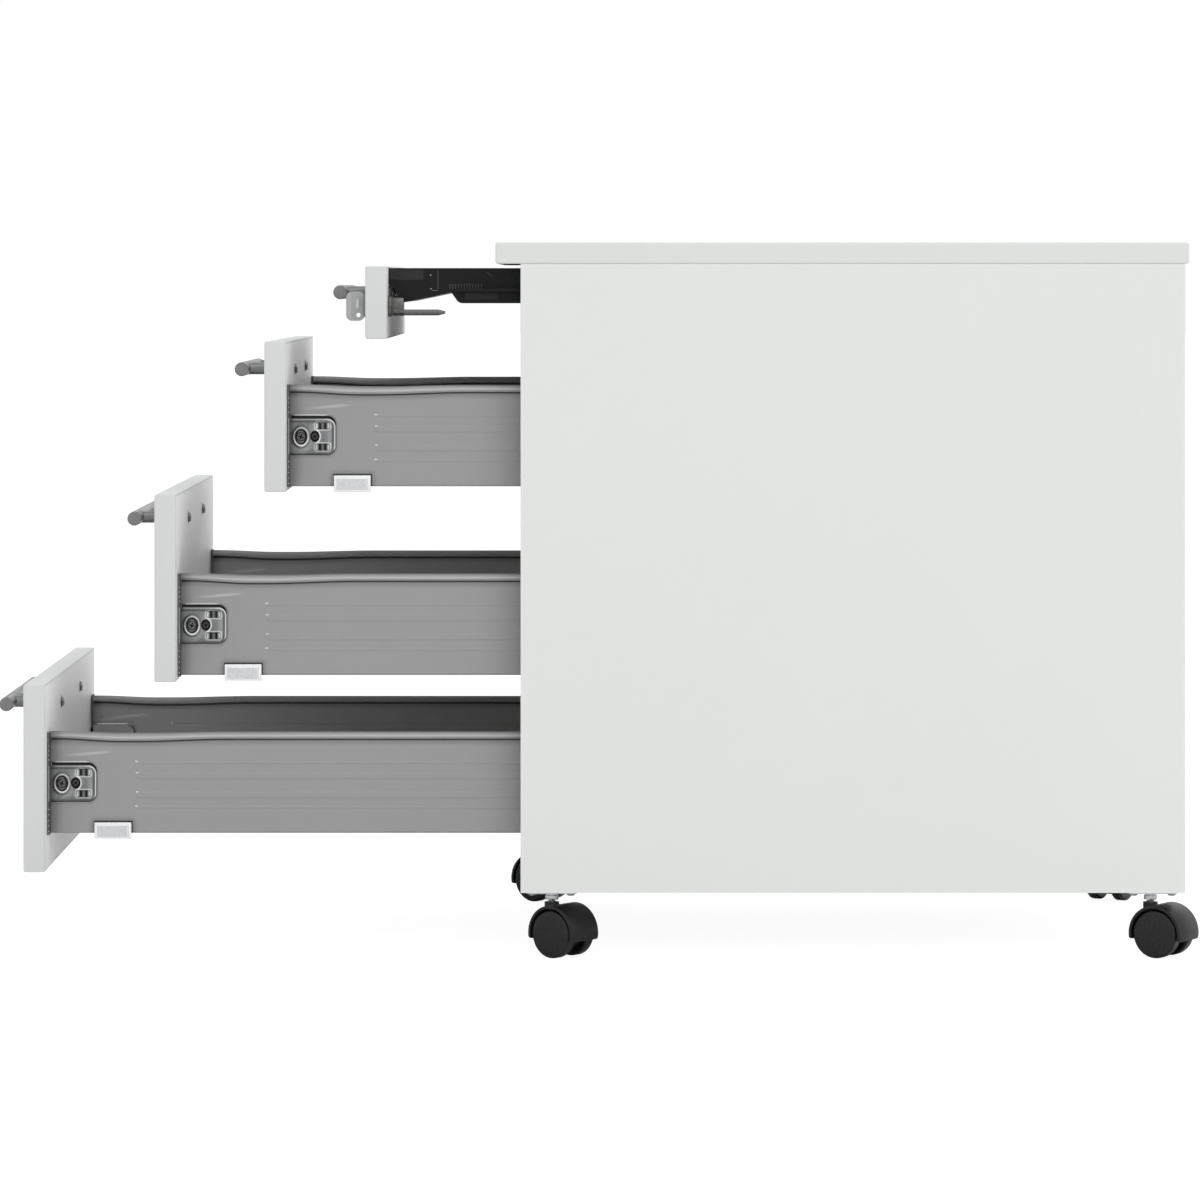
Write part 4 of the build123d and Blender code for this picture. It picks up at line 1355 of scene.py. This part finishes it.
@dataclass(frozen=True)
class Bracket:
    """Die-cast front bracket: a plate in the side's recess, and a foot along the drawer's front.

    All its sizes are in mm, behind and above the lower front corner of the side's outer face. Each painted
    highlight and painted shade has its weight in the painted light, as in Relief.
    """

    low: float = 27.0
    high: float = 57.0
    end: float = 40.2
    corner: float = 6.8
    floor_depth: float = 4.0
    thickness: float = 2.2
    rim_width: float = 1.5
    rim_rise: float = 0.7
    ring: Eye = Eye((11.0, 41.8), (6.0, 7.5))
    ring_width: float = 1.0
    ring_rise: float = 0.9
    cup_sink: float = 1.2
    hole: Eye = Eye((22.7, 42.1), (3.9, 4.8))
    hole_sink: float = 1.7
    slot_centres: tuple[Point, ...] = ((29.2, 51.0), (29.2, 33.1))
    slot_half: Point = (6.2, 2.9)
    slot_radius: float = 1.8
    slot_sink: float = 1.5
    slot_web: float = 1.6
    lip: float = 0.3
    lip_width: float = 0.6
    columns: int = 101
    rows: int = 75
    foot_width: float = 13.0
    foot_thickness: float = 2.2
    foot_height: float = 86.0
    foot_rows: int = 6
    # Weights of painted highlights (rim, sheen, slots, the foot's outer edge) and of painted shade (bottom,
    # corners, front, screw cup, ring, hole, slots, back, the foot's faces).
    rim_highlight: float = 0.85
    sheen: float = 0.16
    slot_highlight: float = 0.9
    slot_lip_highlight: float = 0.5
    low_shade: float = 0.55
    rim_shade: float = 0.6
    front_shade: float = 0.3
    cup_shade: float = 0.8
    ring_shade: float = 0.45
    hole_shade: float = 0.92
    slot_shade: float = 0.35
    back_shade: float = 0.5
    foot_highlight: float = 0.4
    foot_face_shade: float = 0.85

    def edge_distance(self, y: float, z: float) -> float:
        """Distance inside the plate's outline."""
        middle = (self.low + self.high) / 2
        out_z = abs(z - middle) - (self.high - middle - self.corner)
        return self.corner - box_distance(y - self.end + self.corner, out_z)

    def slot_distance(self, centre: Point, y: float, z: float) -> float:
        """Distance outside one rounded slot, negative inside it."""
        out_y = abs(y - centre[0]) - (self.slot_half[0] - self.slot_radius)
        out_z = abs(z - centre[1]) - (self.slot_half[1] - self.slot_radius)
        return box_distance(out_y, out_z) - self.slot_radius

    def height(self, y: float, z: float) -> float:
        """Height of the plate's face over the recess's floor."""
        ring, hole = self.ring.distance(y, z), self.hole.distance(y, z)
        edge = self.edge_distance(y, z)
        total = self.thickness + self.rim_rise * (1 - smooth(0.7 * self.rim_width, self.rim_width, edge))
        total += self.ring_rise * peak(ring, self.ring_width)
        total -= self.cup_sink * (1 - smooth(-1.8, -0.6, ring))
        total += self.lip * peak(hole - 0.5, self.lip_width)
        total -= self.hole_sink * (1 - smooth(-0.6, 0.0, hole))
        for centre in self.slot_centres:
            slot = self.slot_distance(centre, y, z)
            sink = self.slot_sink * (1 - 0.6 * peak(y - centre[0], self.slot_web))
            total += self.lip * peak(slot - 0.5, self.lip_width) - sink * (1 - smooth(-0.6, 0.0, slot))
        return total

    def wear(self, y: float, z: float) -> float:
        """Painted highlights on crests and painted shade in corners of the plate's face, from -1 to 1."""
        edge = self.edge_distance(y, z)
        lit = smooth(self.low + 1, self.low + 6, z)
        shaded = smooth(self.high - 3, self.high - 1, z) * (1 - smooth(28, 35, y))
        rim = peak(edge - 0.7, 0.55) * lit * smooth(2, 5, y) * (1 - 0.65 * shaded)
        bright = self.rim_highlight * rim + self.sheen * (peak(y - 0.55 * z + 3, 5) + peak(y - 36, 3))
        dark = self.low_shade * (1 - lit) * (1 - smooth(1.0, 1.9, edge))
        dark += self.rim_shade * lit * peak(edge - 2.4, 0.7) + self.front_shade * (1 - smooth(2, 6, y))
        ring, hole = self.ring.distance(y, z), self.hole.distance(y, z)
        centre_z, behind_y = self.ring.centre[1], self.hole.centre[0]
        bright += (0.55 + 0.45 * smooth(centre_z + 3, centre_z - 4, z)) * peak(ring, 0.6)
        bright += smooth(behind_y, behind_y + 3, y) * peak(hole - 0.6, 0.5)
        dark += self.cup_shade * peak(ring + 1.3, 0.6) + self.ring_shade * peak(ring - 1.5, 0.6)
        dark += self.hole_shade * (1 - smooth(-0.4, 0.2, hole))
        for centre in self.slot_centres:
            slot, off = self.slot_distance(centre, y, z), abs(y - centre[0])
            inner, ends = 1 - smooth(-0.5, 0.0, slot), smooth(2.2, 5.0, off)
            bright += self.slot_highlight * inner * ends + self.slot_lip_highlight * peak(slot - 0.7, 0.5)
            dark += inner * (self.slot_highlight * smooth(0.8, 2.0, off) * (1 - ends) + self.slot_shade)
        return min(max(bright - dark, -1.0), 1.0)

    def outline_span(self, y: float) -> float:
        """Half of the plate's height at one distance behind the front."""
        half = (self.high - self.low) / 2
        over = max(y - (self.end - self.corner), 0.0)
        return half - self.corner + math.sqrt(max(self.corner**2 - over**2, 0.0))

    def add_plate(self, draft: Draft, base: Vector, facing: int) -> None:
        """Add the plate as a closed shell.

        Args:
            draft: The mesh to add to.
            base: Lower front corner of the side's outer face.
            facing: 1 for the right side of the cabinet, -1 for the left.
        """
        middle = (self.low + self.high) / 2
        shares = [(index / self.columns) ** 0.8 for index in range(self.columns)]
        rings = []
        for y in [*(self.end * math.sin(math.pi / 2 * share) for share in shares), self.end - 0.02]:
            span = self.outline_span(y)
            levels = [middle + span * (2 * index / self.rows - 1) for index in range(self.rows + 1)]
            face = [(facing * (self.height(y, z) - self.floor_depth), y, z) for z in levels]
            back = [(-facing * self.floor_depth, y, z) for z in reversed(levels)]
            rings.append([(base.x + x * MM, base.y + y * MM, base.z + z * MM) for x, y, z in face + back])
        draft.loft(rings, strip_caps=True)

    def build(self, name: str, drawer: str, material: Material) -> Piece:
        """Build the right and the left plate of one drawer as one piece.

        Args:
            name: The piece's name.
            drawer: The drawer, whose packed side and front give the place.
            material: Its finish.

        Returns:
            The piece.
        """
        base = side_corner(drawer)
        draft = Draft()
        for side in Side:
            self.add_plate(draft, Vector((side.value * base.x, base.y, base.z)), side.value)
        skin = base.x - (self.floor_depth - 0.1) * MM

        def wear(place: Vector) -> float:
            """Painted light of the face, and painted shade on the back."""
            return self.wear(*((place - base) / MM).yz) if abs(place.x) > skin else -self.back_shade

        return draft.finish(name, material, crease=60.0, wear=wear)

    def build_feet(self, name: str, drawer: str, material: Material) -> Piece:
        """Build the two feet of one drawer, each an upright strip behind the front with a painted highlight
        on its outer edge.

        Args:
            name: The piece's name.
            drawer: The drawer, whose packed side and front give the place.
            material: Its finish.

        Returns:
            The piece.
        """
        base = side_corner(drawer)
        half, edge = self.foot_thickness / 2, self.foot_width
        draft = Draft()
        levels = [-half + 2 * half * row / self.foot_rows for row in range(self.foot_rows + 1)]
        spans = ((0.0, edge, 0.0, self.foot_height), (-self.floor_depth, 0.2, self.low, self.high))
        for side in Side:
            origin = (side.value * base.x, base.y + half * MM, base.z)
            place = Matrix.Translation(origin) @ Matrix.Scale(MM, 4)
            for near, far, bottom, top in spans:
                x_low, x_high = sorted((side.value * near, side.value * far))
                outline = [(x_low, y) for y in reversed(levels)] + [(x_high, y) for y in levels]
                draft.slab(outline, bottom, top, place)
            near, far = side.value * (edge - 0.1), side.value * (edge + 0.12)
            strip = [(near, 0.35), (near, 0.85), (far, 0.85), (far, 0.35)]
            draft.slab(strip, self.low + 1, self.high + 1, place)

        def wear(place: Vector) -> float:
            """A painted highlight on the outer edge, plain metal by the plate, and painted shade at the
            strip's faces.
            """
            out = (abs(place.x) - base.x) / MM
            if out > edge + 0.05:
                return self.foot_highlight
            if out < 1:
                return 0.0
            return -self.foot_face_shade * smooth(0.35, 1.0, abs((place.y - base.y) / MM - half) / half)

        return draft.finish(name, material, wear=wear)


@dataclass
class SteelDrawers:
    """The three drawers with steel sides.

    The catch's field has its insets from the catch's front, bottom, rear and top, and the groove behind it
    has them from the rear, bottom, rear and top. A row of marks on a bracket's foot has its first level in
    mm, its count and its pitch in mm.
    """

    palette: Palette
    kit: Kit
    side: SteelSide = SteelSide()
    bracket: Bracket = Bracket()
    field: tuple[float, ...] = (2.2 * MM, 1.4 * MM, 3.4 * MM, 3.0 * MM)
    field_rise: float = 0.08 * MM
    groove: tuple[float, ...] = (2.9 * MM, 1.2 * MM, 2.2 * MM, 2.4 * MM)
    groove_rise: float = 0.05 * MM
    groove_shade: float = 0.75
    sunk: float = -0.2 * MM
    foot_marks: tuple[tuple, ...] = (("lower", 3.0, 5, 4.6), ("upper", 63.0, 4, 3.9))
    foot_mark_inset: float = 1.7 * MM

    def dress(self, body: str) -> None:
        """Dress the nodes of one drawer that stay as they are, and round its front."""
        ease_front(body)
        for node, thin in ((f"{body}_base", Along.Z), (f"{body}_back", Along.Y)):
            dress(node, board_finish(node, INNER_BOARD, thin))
        for row in ("rear", "front"):
            dress(f"{body}_{row}_rollers", self.palette.nylon)

    def add_brackets(self, body: str) -> None:
        """The bracket plates, and the feet behind the front."""
        plates = self.bracket.build(f"{body}_bracket_plates", body, self.palette.bracket_zinc)
        ride(plates, body, "bracket_zinc", f"{body}_front_brackets")
        feet = self.bracket.build_feet(f"{body}_bracket_feet", body, self.palette.foot_zinc)
        ride(feet, body, "bracket_zinc")

    def add_catch(self, body: str) -> None:
        """The lock catch with eased edges, the mottled field on its outer face, and the groove there as a
        dark strip of painted shade.
        """
        node = f"{body}_catch"
        catch = refined(node, f"{node}_plate", self.palette.bright_zinc, 0.4 * MM)
        ride(catch, body, "zinc_plate", node)
        low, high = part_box(node)
        draft = Draft()
        front, bottom, rear, top = self.field
        field = rectangle(low.y + front, low.z + bottom, high.y - rear, high.z - top)
        draft.slab(field, self.sunk, self.field_rise, on_wall(high.x))
        front, bottom, rear, top = self.groove
        groove = rectangle(high.y - front, low.z + bottom, high.y - rear, high.z - top)
        # The groove is a thin strip of painted shade.
        draft.wear = -self.groove_shade
        draft.slab(groove, self.sunk, self.groove_rise, on_wall(high.x))
        ride(draft.finish(f"{node}_field", self.palette.mottled_zinc), body, "zinc_plate")

    def add_sides(self) -> None:
        """Build one detailed side and copy it to the other five places."""
        origin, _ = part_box("upper_drawer_right_side")
        for side in Side:
            catch = side is Side.RIGHT
            pattern = self.side.build("side_pattern", "upper_drawer", self.palette.drawer_steel, catch)
            for level in Level:
                node = f"{level.value}_drawer_{side.name.lower()}_side"
                low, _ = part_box(f"{level.value}_drawer_right_side")
                shift = Vector((0, low.y - origin.y, low.z - origin.z))
                piece = moved_copy(pattern, f"{node}_sheet", shift, flip_x=side is Side.LEFT)
                ride(piece, f"{level.value}_drawer", "drawer_steel", node)
            bpy.data.objects.remove(pattern)

    def add_screws(self, body: str) -> None:
        """Screws in the brackets and behind the handle."""
        base = side_corner(body)
        kinds = (
            ("bright", self.bracket.ring, 1.0, 1.18, self.palette.nickel, 3),
            ("dark", self.bracket.hole, 0.5, 0.98, self.palette.dark_screw, 4),
        )
        for kind, eye, rise, size, material, seed in kinds:
            x = base.x + (rise - self.bracket.floor_depth) * MM
            y, z = base.y + eye.centre[0] * MM, base.z + eye.centre[1] * MM
            places = [(side.value * x, y, z) for side in Side]
            name = f"{body}_{kind}_bracket_screws"
            self.kit.add_screws(body, name, places, (1, 0, 0), seed, size, material=material)
        self.kit.add_handle_screws(body, seed=7)

    def add_foot_marks(self, body: str) -> None:
        """Rows of small marks with painted highlights down the outer edge of each foot, above and below its
        plate.
        """
        low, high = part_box(f"{body}_front_brackets")
        for part, bottom, count, pitch in self.foot_marks:
            for side in Side:
                place = (side.value * high.x, low.y + self.foot_mark_inset, low.z + bottom * MM)
                name = f"{body}_{side.name.lower()}_{part}_foot_marks"
                step = Vector((0, 0, pitch * MM))
                start, finish = Vector(place), self.palette.foot_zinc
                piece = self.kit.row.lay(name, self.kit.dash, finish, count, start, step)
                ride(piece, body, "bracket_zinc")

    def build(self) -> None:
        """Dress and complete the three drawers."""
        self.add_sides()
        for level in Level:
            body = f"{level.value}_drawer"
            self.dress(body)
            self.add_brackets(body)
            self.add_catch(body)
            self.add_screws(body)
            self.add_foot_marks(body)
            self.kit.add_handle(body)


@dataclass
class PenDrawer:
    """The pen drawer with its tray, lock and key.

    A place is measured back from the front and down from the top of its node's box, but the key's lip has
    its own up from the bottom, and the rivet and the first rib start with a distance from the right face.
    A panel of the tray has its place, length and height in mm, and its painted highlight; a bright dot has
    its place.
    """

    palette: Palette
    kit: Kit
    body: str = "pen_drawer"
    sunk: float = -0.2 * MM
    # The key's thumb pad and the lip of its bow carry painted highlights.
    pad_half: Point = (1.1 * MM, 4.4 * MM)
    pad_place: Point = (9.6 * MM, 10.4 * MM)
    pad_highlight: float = 0.5
    lip_size: Point = (2.8 * MM, 22 * MM)
    lip_place: Point = (1.6 * MM, 1.4 * MM)
    key_lip_highlight: float = 0.12
    rivet_place: tuple[float, float, float] = (1.0 * MM, 14 * MM, 5 * MM)
    rivet_wear: float = 0.6
    rib_place: tuple[float, float, float] = (0.1 * MM, 52 * MM, 15.6 * MM)
    rib_count: int = 12
    rib_pitch: float = 2.4 * MM
    panels: tuple[tuple[float, ...], ...] = (
        (0.6, 1.2, 29.0, 8.4, 0.02),
        (7.0, 9.3, 22.0, 0.5, 0.08),
        (41.5, 1.6, 0.7, 17.8, 0.06),
        (37.0, 18.6, 4.4, 0.6, 0.15),
        (64.6, 21.0, 28.0, 5.4, 0.02),
    )
    # Small bosses with a painted highlight on the tray's wall.
    bright_dots: tuple[Point, ...] = ((35.6, 5.9), (36.1, 17.5))
    dot_highlight: float = 0.3
    scratch_steps: int = 8
    scratch_half: float = 0.35 * MM
    scratch_wear: float = 0.12

    def build(self) -> None:
        """Dress and complete the pen drawer."""
        ease_front(self.body)
        dress("pen_tray", self.palette.tray_plastic)
        dress("pen_tray_runners", self.palette.tray_plastic)
        self.kit.add_handle(self.body)
        self.add_lock()
        self.add_key_pads()
        self.add_cam_rivet()
        self.kit.add_handle_screws(self.body, seed=9)
        self.add_tray_ribs()
        self.add_tray_marks()

    def add_lock(self) -> None:
        """The lock's housing, cam and key with eased edges."""
        nickel = self.palette.nickel
        housing = refined("lock_housing", "lock_housing_shell", nickel, 0.3 * MM)
        ride(housing, self.body, "nickel", "lock_housing")
        cam = refined("lock_cam", "lock_cam_pin", nickel, 0.3 * MM)
        ride(cam, "lock_cam", "zinc_plate", "lock_cam")
        key = refined("key", "key_bow", self.palette.key_plastic, 0.5 * MM)
        ride(key, "key", "key_plastic", "key")

    def add_key_pads(self) -> None:
        """The key's thumb pad and the raised lip of its bow, both with painted highlights."""
        low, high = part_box("key")
        draft = Draft()
        draft.wear = self.pad_highlight
        pad = [(self.pad_half[0] * x, self.pad_half[1] * y) for x, y in circle(1.0, 28)]
        place = on_wall(high.x, low.y + self.pad_place[0], high.z - self.pad_place[1])
        draft.slab(pad, self.sunk, 0.35 * MM, place, 0.3 * MM)
        draft.wear = self.key_lip_highlight
        place = on_wall(high.x, low.y + self.lip_place[0], low.z + self.lip_place[1])
        draft.slab(rectangle(0.0, 0.0, *self.lip_size), self.sunk, 0.3 * MM, place, 0.25 * MM)
        ride(draft.finish("key_thumb_pad", self.palette.key_plastic), "key", "key_plastic")

    def add_cam_rivet(self) -> None:
        """The rivet at the end of the lock's cam."""
        low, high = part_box("lock_cam")
        draft = Draft()
        draft.wear = self.rivet_wear
        profile = [(1.3 * MM, -1.0 * MM), (1.3 * MM, 0.3 * MM), (0.7 * MM, 0.7 * MM)]
        x, y, z = self.rivet_place
        draft.lathe(profile, facing_x((high.x - x, low.y + y, high.z - z)), steps=20)
        ride(draft.finish("lock_cam_rivet", self.palette.screw_steel), "lock_cam", "zinc_plate")

    def add_tray_ribs(self) -> None:
        """Short upright ribs on the tray's right wall, above the start of its runner."""
        low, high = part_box("pen_tray")
        x, y, z = self.rib_place
        start = Vector((high.x + x, low.y + y, high.z - z))
        step = Vector((0, self.rib_pitch, 0))
        finish = self.palette.tray_plastic
        piece = self.kit.row.lay("pen_tray_ribs", self.kit.rib, finish, self.rib_count, start, step)
        ride(piece, self.body, "black_plastic")

    def add_tray_marks(self) -> None:
        """Moulded panels and small bosses, both with painted highlights, and a scratch on the tray's right
        wall.
        """
        low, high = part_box("pen_tray")
        draft = Draft()
        # Each panel carries its painted highlight.
        for along, down, length, height, wear in self.panels:
            draft.wear = wear
            near, top = low.y + along * MM, high.z - down * MM
            outline = rectangle(near, top - height * MM, near + length * MM, top)
            draft.slab(outline, -0.1 * MM, 0.2 * MM, on_wall(high.x), 0.08 * MM)
        # The bosses carry a painted highlight.
        draft.wear = self.dot_highlight
        for along, down in self.bright_dots:
            profile = [(0.7 * MM, -0.1 * MM), (0.7 * MM, 0.15 * MM), (0.4 * MM, 0.3 * MM)]
            draft.lathe(profile, facing_x((high.x, low.y + along * MM, high.z - down * MM)), steps=12)
        draft.wear = self.scratch_wear
        rings = []
        for step in range(self.scratch_steps + 1):
            share = step / self.scratch_steps
            y = low.y + (82.8 + 5.6 * share) * MM
            z = high.z - (3.6 + 1.2 * share + 4.8 * share * share) * MM
            half = self.scratch_half * math.sin(math.pi * (0.1 + 0.8 * share))
            x = high.x
            rings.append([(x - half, y, z), (x, y, z - half), (x + 0.15 * MM, y, z), (x, y, z + half)])
        draft.loft(rings)
        ride(draft.finish("pen_tray_mould_marks", self.palette.tray_plastic), self.body, "black_plastic")


@dataclass
class Casters:
    """The four twin-wheel casters."""

    palette: Palette

    def build(self) -> None:
        """Add the hoods and wheels with smooth round faces and eased edges."""
        hood, tread = self.palette.caster_plastic, self.palette.wheel_plastic
        for corner in ("right_front", "right_rear", "left_front", "left_rear"):
            self.add(f"{corner}_caster_hood", hood, 0.5 * MM)
            for place in ("outer", "inner"):
                self.add(f"{corner}_caster_{place}_wheel", tread, 0.3 * MM)

    def add(self, node: str, finish: Material, ease: float) -> None:
        """Put an eased copy in a node's place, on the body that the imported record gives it."""
        bodies = frame["record"]["behaviour"]["bodies"]
        body = next(name for name, nodes in bodies.items() if node in nodes)
        ride(refined(node, f"{node}_moulding", finish, ease), body, "caster_plastic", node)


@dataclass(frozen=True)
class Studio:
    """Plain pale studio and a camera level with the top of the cabinet's right side."""

    camera_place: tuple[float, float, float] = (4.384, -0.2266, 0.5676)
    focal_px: float = 4988.0
    centre_px: Point = (582.0, 281.0)
    frame_px: float = 1200.0
    sensor: float = 36.0
    floor_half: float = 50.0
    ambient: float = 0.84
    lamps: tuple[tuple[str, tuple[float, float, float], float, float], ...] = (
        ("overhead", (0.6, 0.5, 3.0), 2.2, 10.0),
        ("camera_side", (3.4, 2.0, 2.0), 1.6, 16.0),
        ("front_fill", (1.6, -3.2, 1.2), 2.0, 4.0),
    )

    def add_camera(self) -> None:
        """Create the camera that looks along -X at the right side."""
        data = bpy.data.cameras.new("side_camera")
        data.sensor_width = self.sensor
        data.lens = self.focal_px / self.frame_px * self.sensor
        data.shift_x = (self.frame_px / 2 - self.centre_px[0]) / self.frame_px
        data.shift_y = (self.centre_px[1] - self.frame_px / 2) / self.frame_px
        data.clip_end = 60.0
        camera = bpy.data.objects.new("side_camera", data)
        camera.location = self.camera_place
        camera.rotation_euler = (math.pi / 2, 0, math.pi / 2)
        bpy.context.scene.collection.objects.link(camera)
        bpy.context.scene.camera = camera

    def add_lamp(self, name: str, place: Vector, target: Vector, size: float, power: float) -> None:
        """Add a square soft lamp that faces a point.

        Args:
            name: The lamp's name.
            place: Where it stands.
            target: The point.
            size: Its side.
            power: Its power in watts.
        """
        data = bpy.data.lights.new(name, "AREA")
        data.size = size
        data.energy = power
        lamp = bpy.data.objects.new(name, data)
        lamp.location = place
        lamp.rotation_euler = (target - place).to_track_quat("-Z", "Y").to_euler()
        bpy.context.scene.collection.objects.link(lamp)

    def add_world(self) -> None:
        """Set soft light from all round, and white behind the object."""
        world = bpy.data.worlds.new("studio")
        bpy.context.scene.world = world
        world.use_nodes = True
        graph = Graph(world.node_tree)
        path = graph.add("ShaderNodeLightPath").outputs
        seen = graph.math("MAXIMUM", path["Is Camera Ray"], path["Is Glossy Ray"])
        seen = graph.math("MAXIMUM", seen, path["Is Transmission Ray"])
        strength = graph.add("ShaderNodeMapRange", {"Value": seen, "To Min": self.ambient, "To Max": 1.0})
        light = graph.add("ShaderNodeBackground", {"Color": (1, 1, 1, 1), "Strength": strength.outputs[0]})
        graph.add("ShaderNodeOutputWorld", {"Surface": light.outputs[0]})

    def add_floor(self) -> None:
        """Lay a white floor that keeps a faint shadow."""
        half = self.floor_half
        mesh = bpy.data.meshes.new("floor")
        corners = [(*corner, 0) for corner in rectangle(-half, -half, half, half)]
        mesh.from_pydata(corners, [], [(0, 1, 2, 3)])
        material = bpy.data.materials.new("white_floor")
        material.use_nodes = True
        graph = Graph(material.node_tree)
        path = graph.add("ShaderNodeLightPath").outputs
        paint = graph.add("ShaderNodeBsdfDiffuse", {"Color": (0.9, 0.9, 0.9, 1)})
        glow = graph.add("ShaderNodeEmission", {"Color": (1, 1, 1, 1), "Strength": 1.3})
        share = graph.math("MULTIPLY", path["Is Camera Ray"], 0.7)
        both = graph.add("ShaderNodeMixShader", {0: share, 1: paint.outputs[0], 2: glow.outputs[0]})
        graph.add("ShaderNodeOutputMaterial", {"Surface": both.outputs[0]})
        mesh.materials.append(material)
        placed_object("floor", mesh)

    def build(self) -> None:
        """Set up camera, light and floor."""
        self.add_camera()
        self.add_world()
        self.add_floor()
        centre = Vector((0, -0.2, 0.35))
        for name, place, size, power in self.lamps:
            self.add_lamp(name, Vector(place), centre, size, power)
        bpy.context.scene.view_settings.view_transform = "Standard"


def main() -> None:
    """Build the cabinet's looks in order."""
    logging.basicConfig(level=logging.INFO, format="%(message)s")
    Studio().build()
    palette = Palette()
    kit = Kit(palette)
    Carcass(palette, kit).build()
    SteelDrawers(palette, kit).build()
    PenDrawer(palette, kit).build()
    Casters(palette).build()
    kit.clear()


if __name__ == "__main__":
    main()
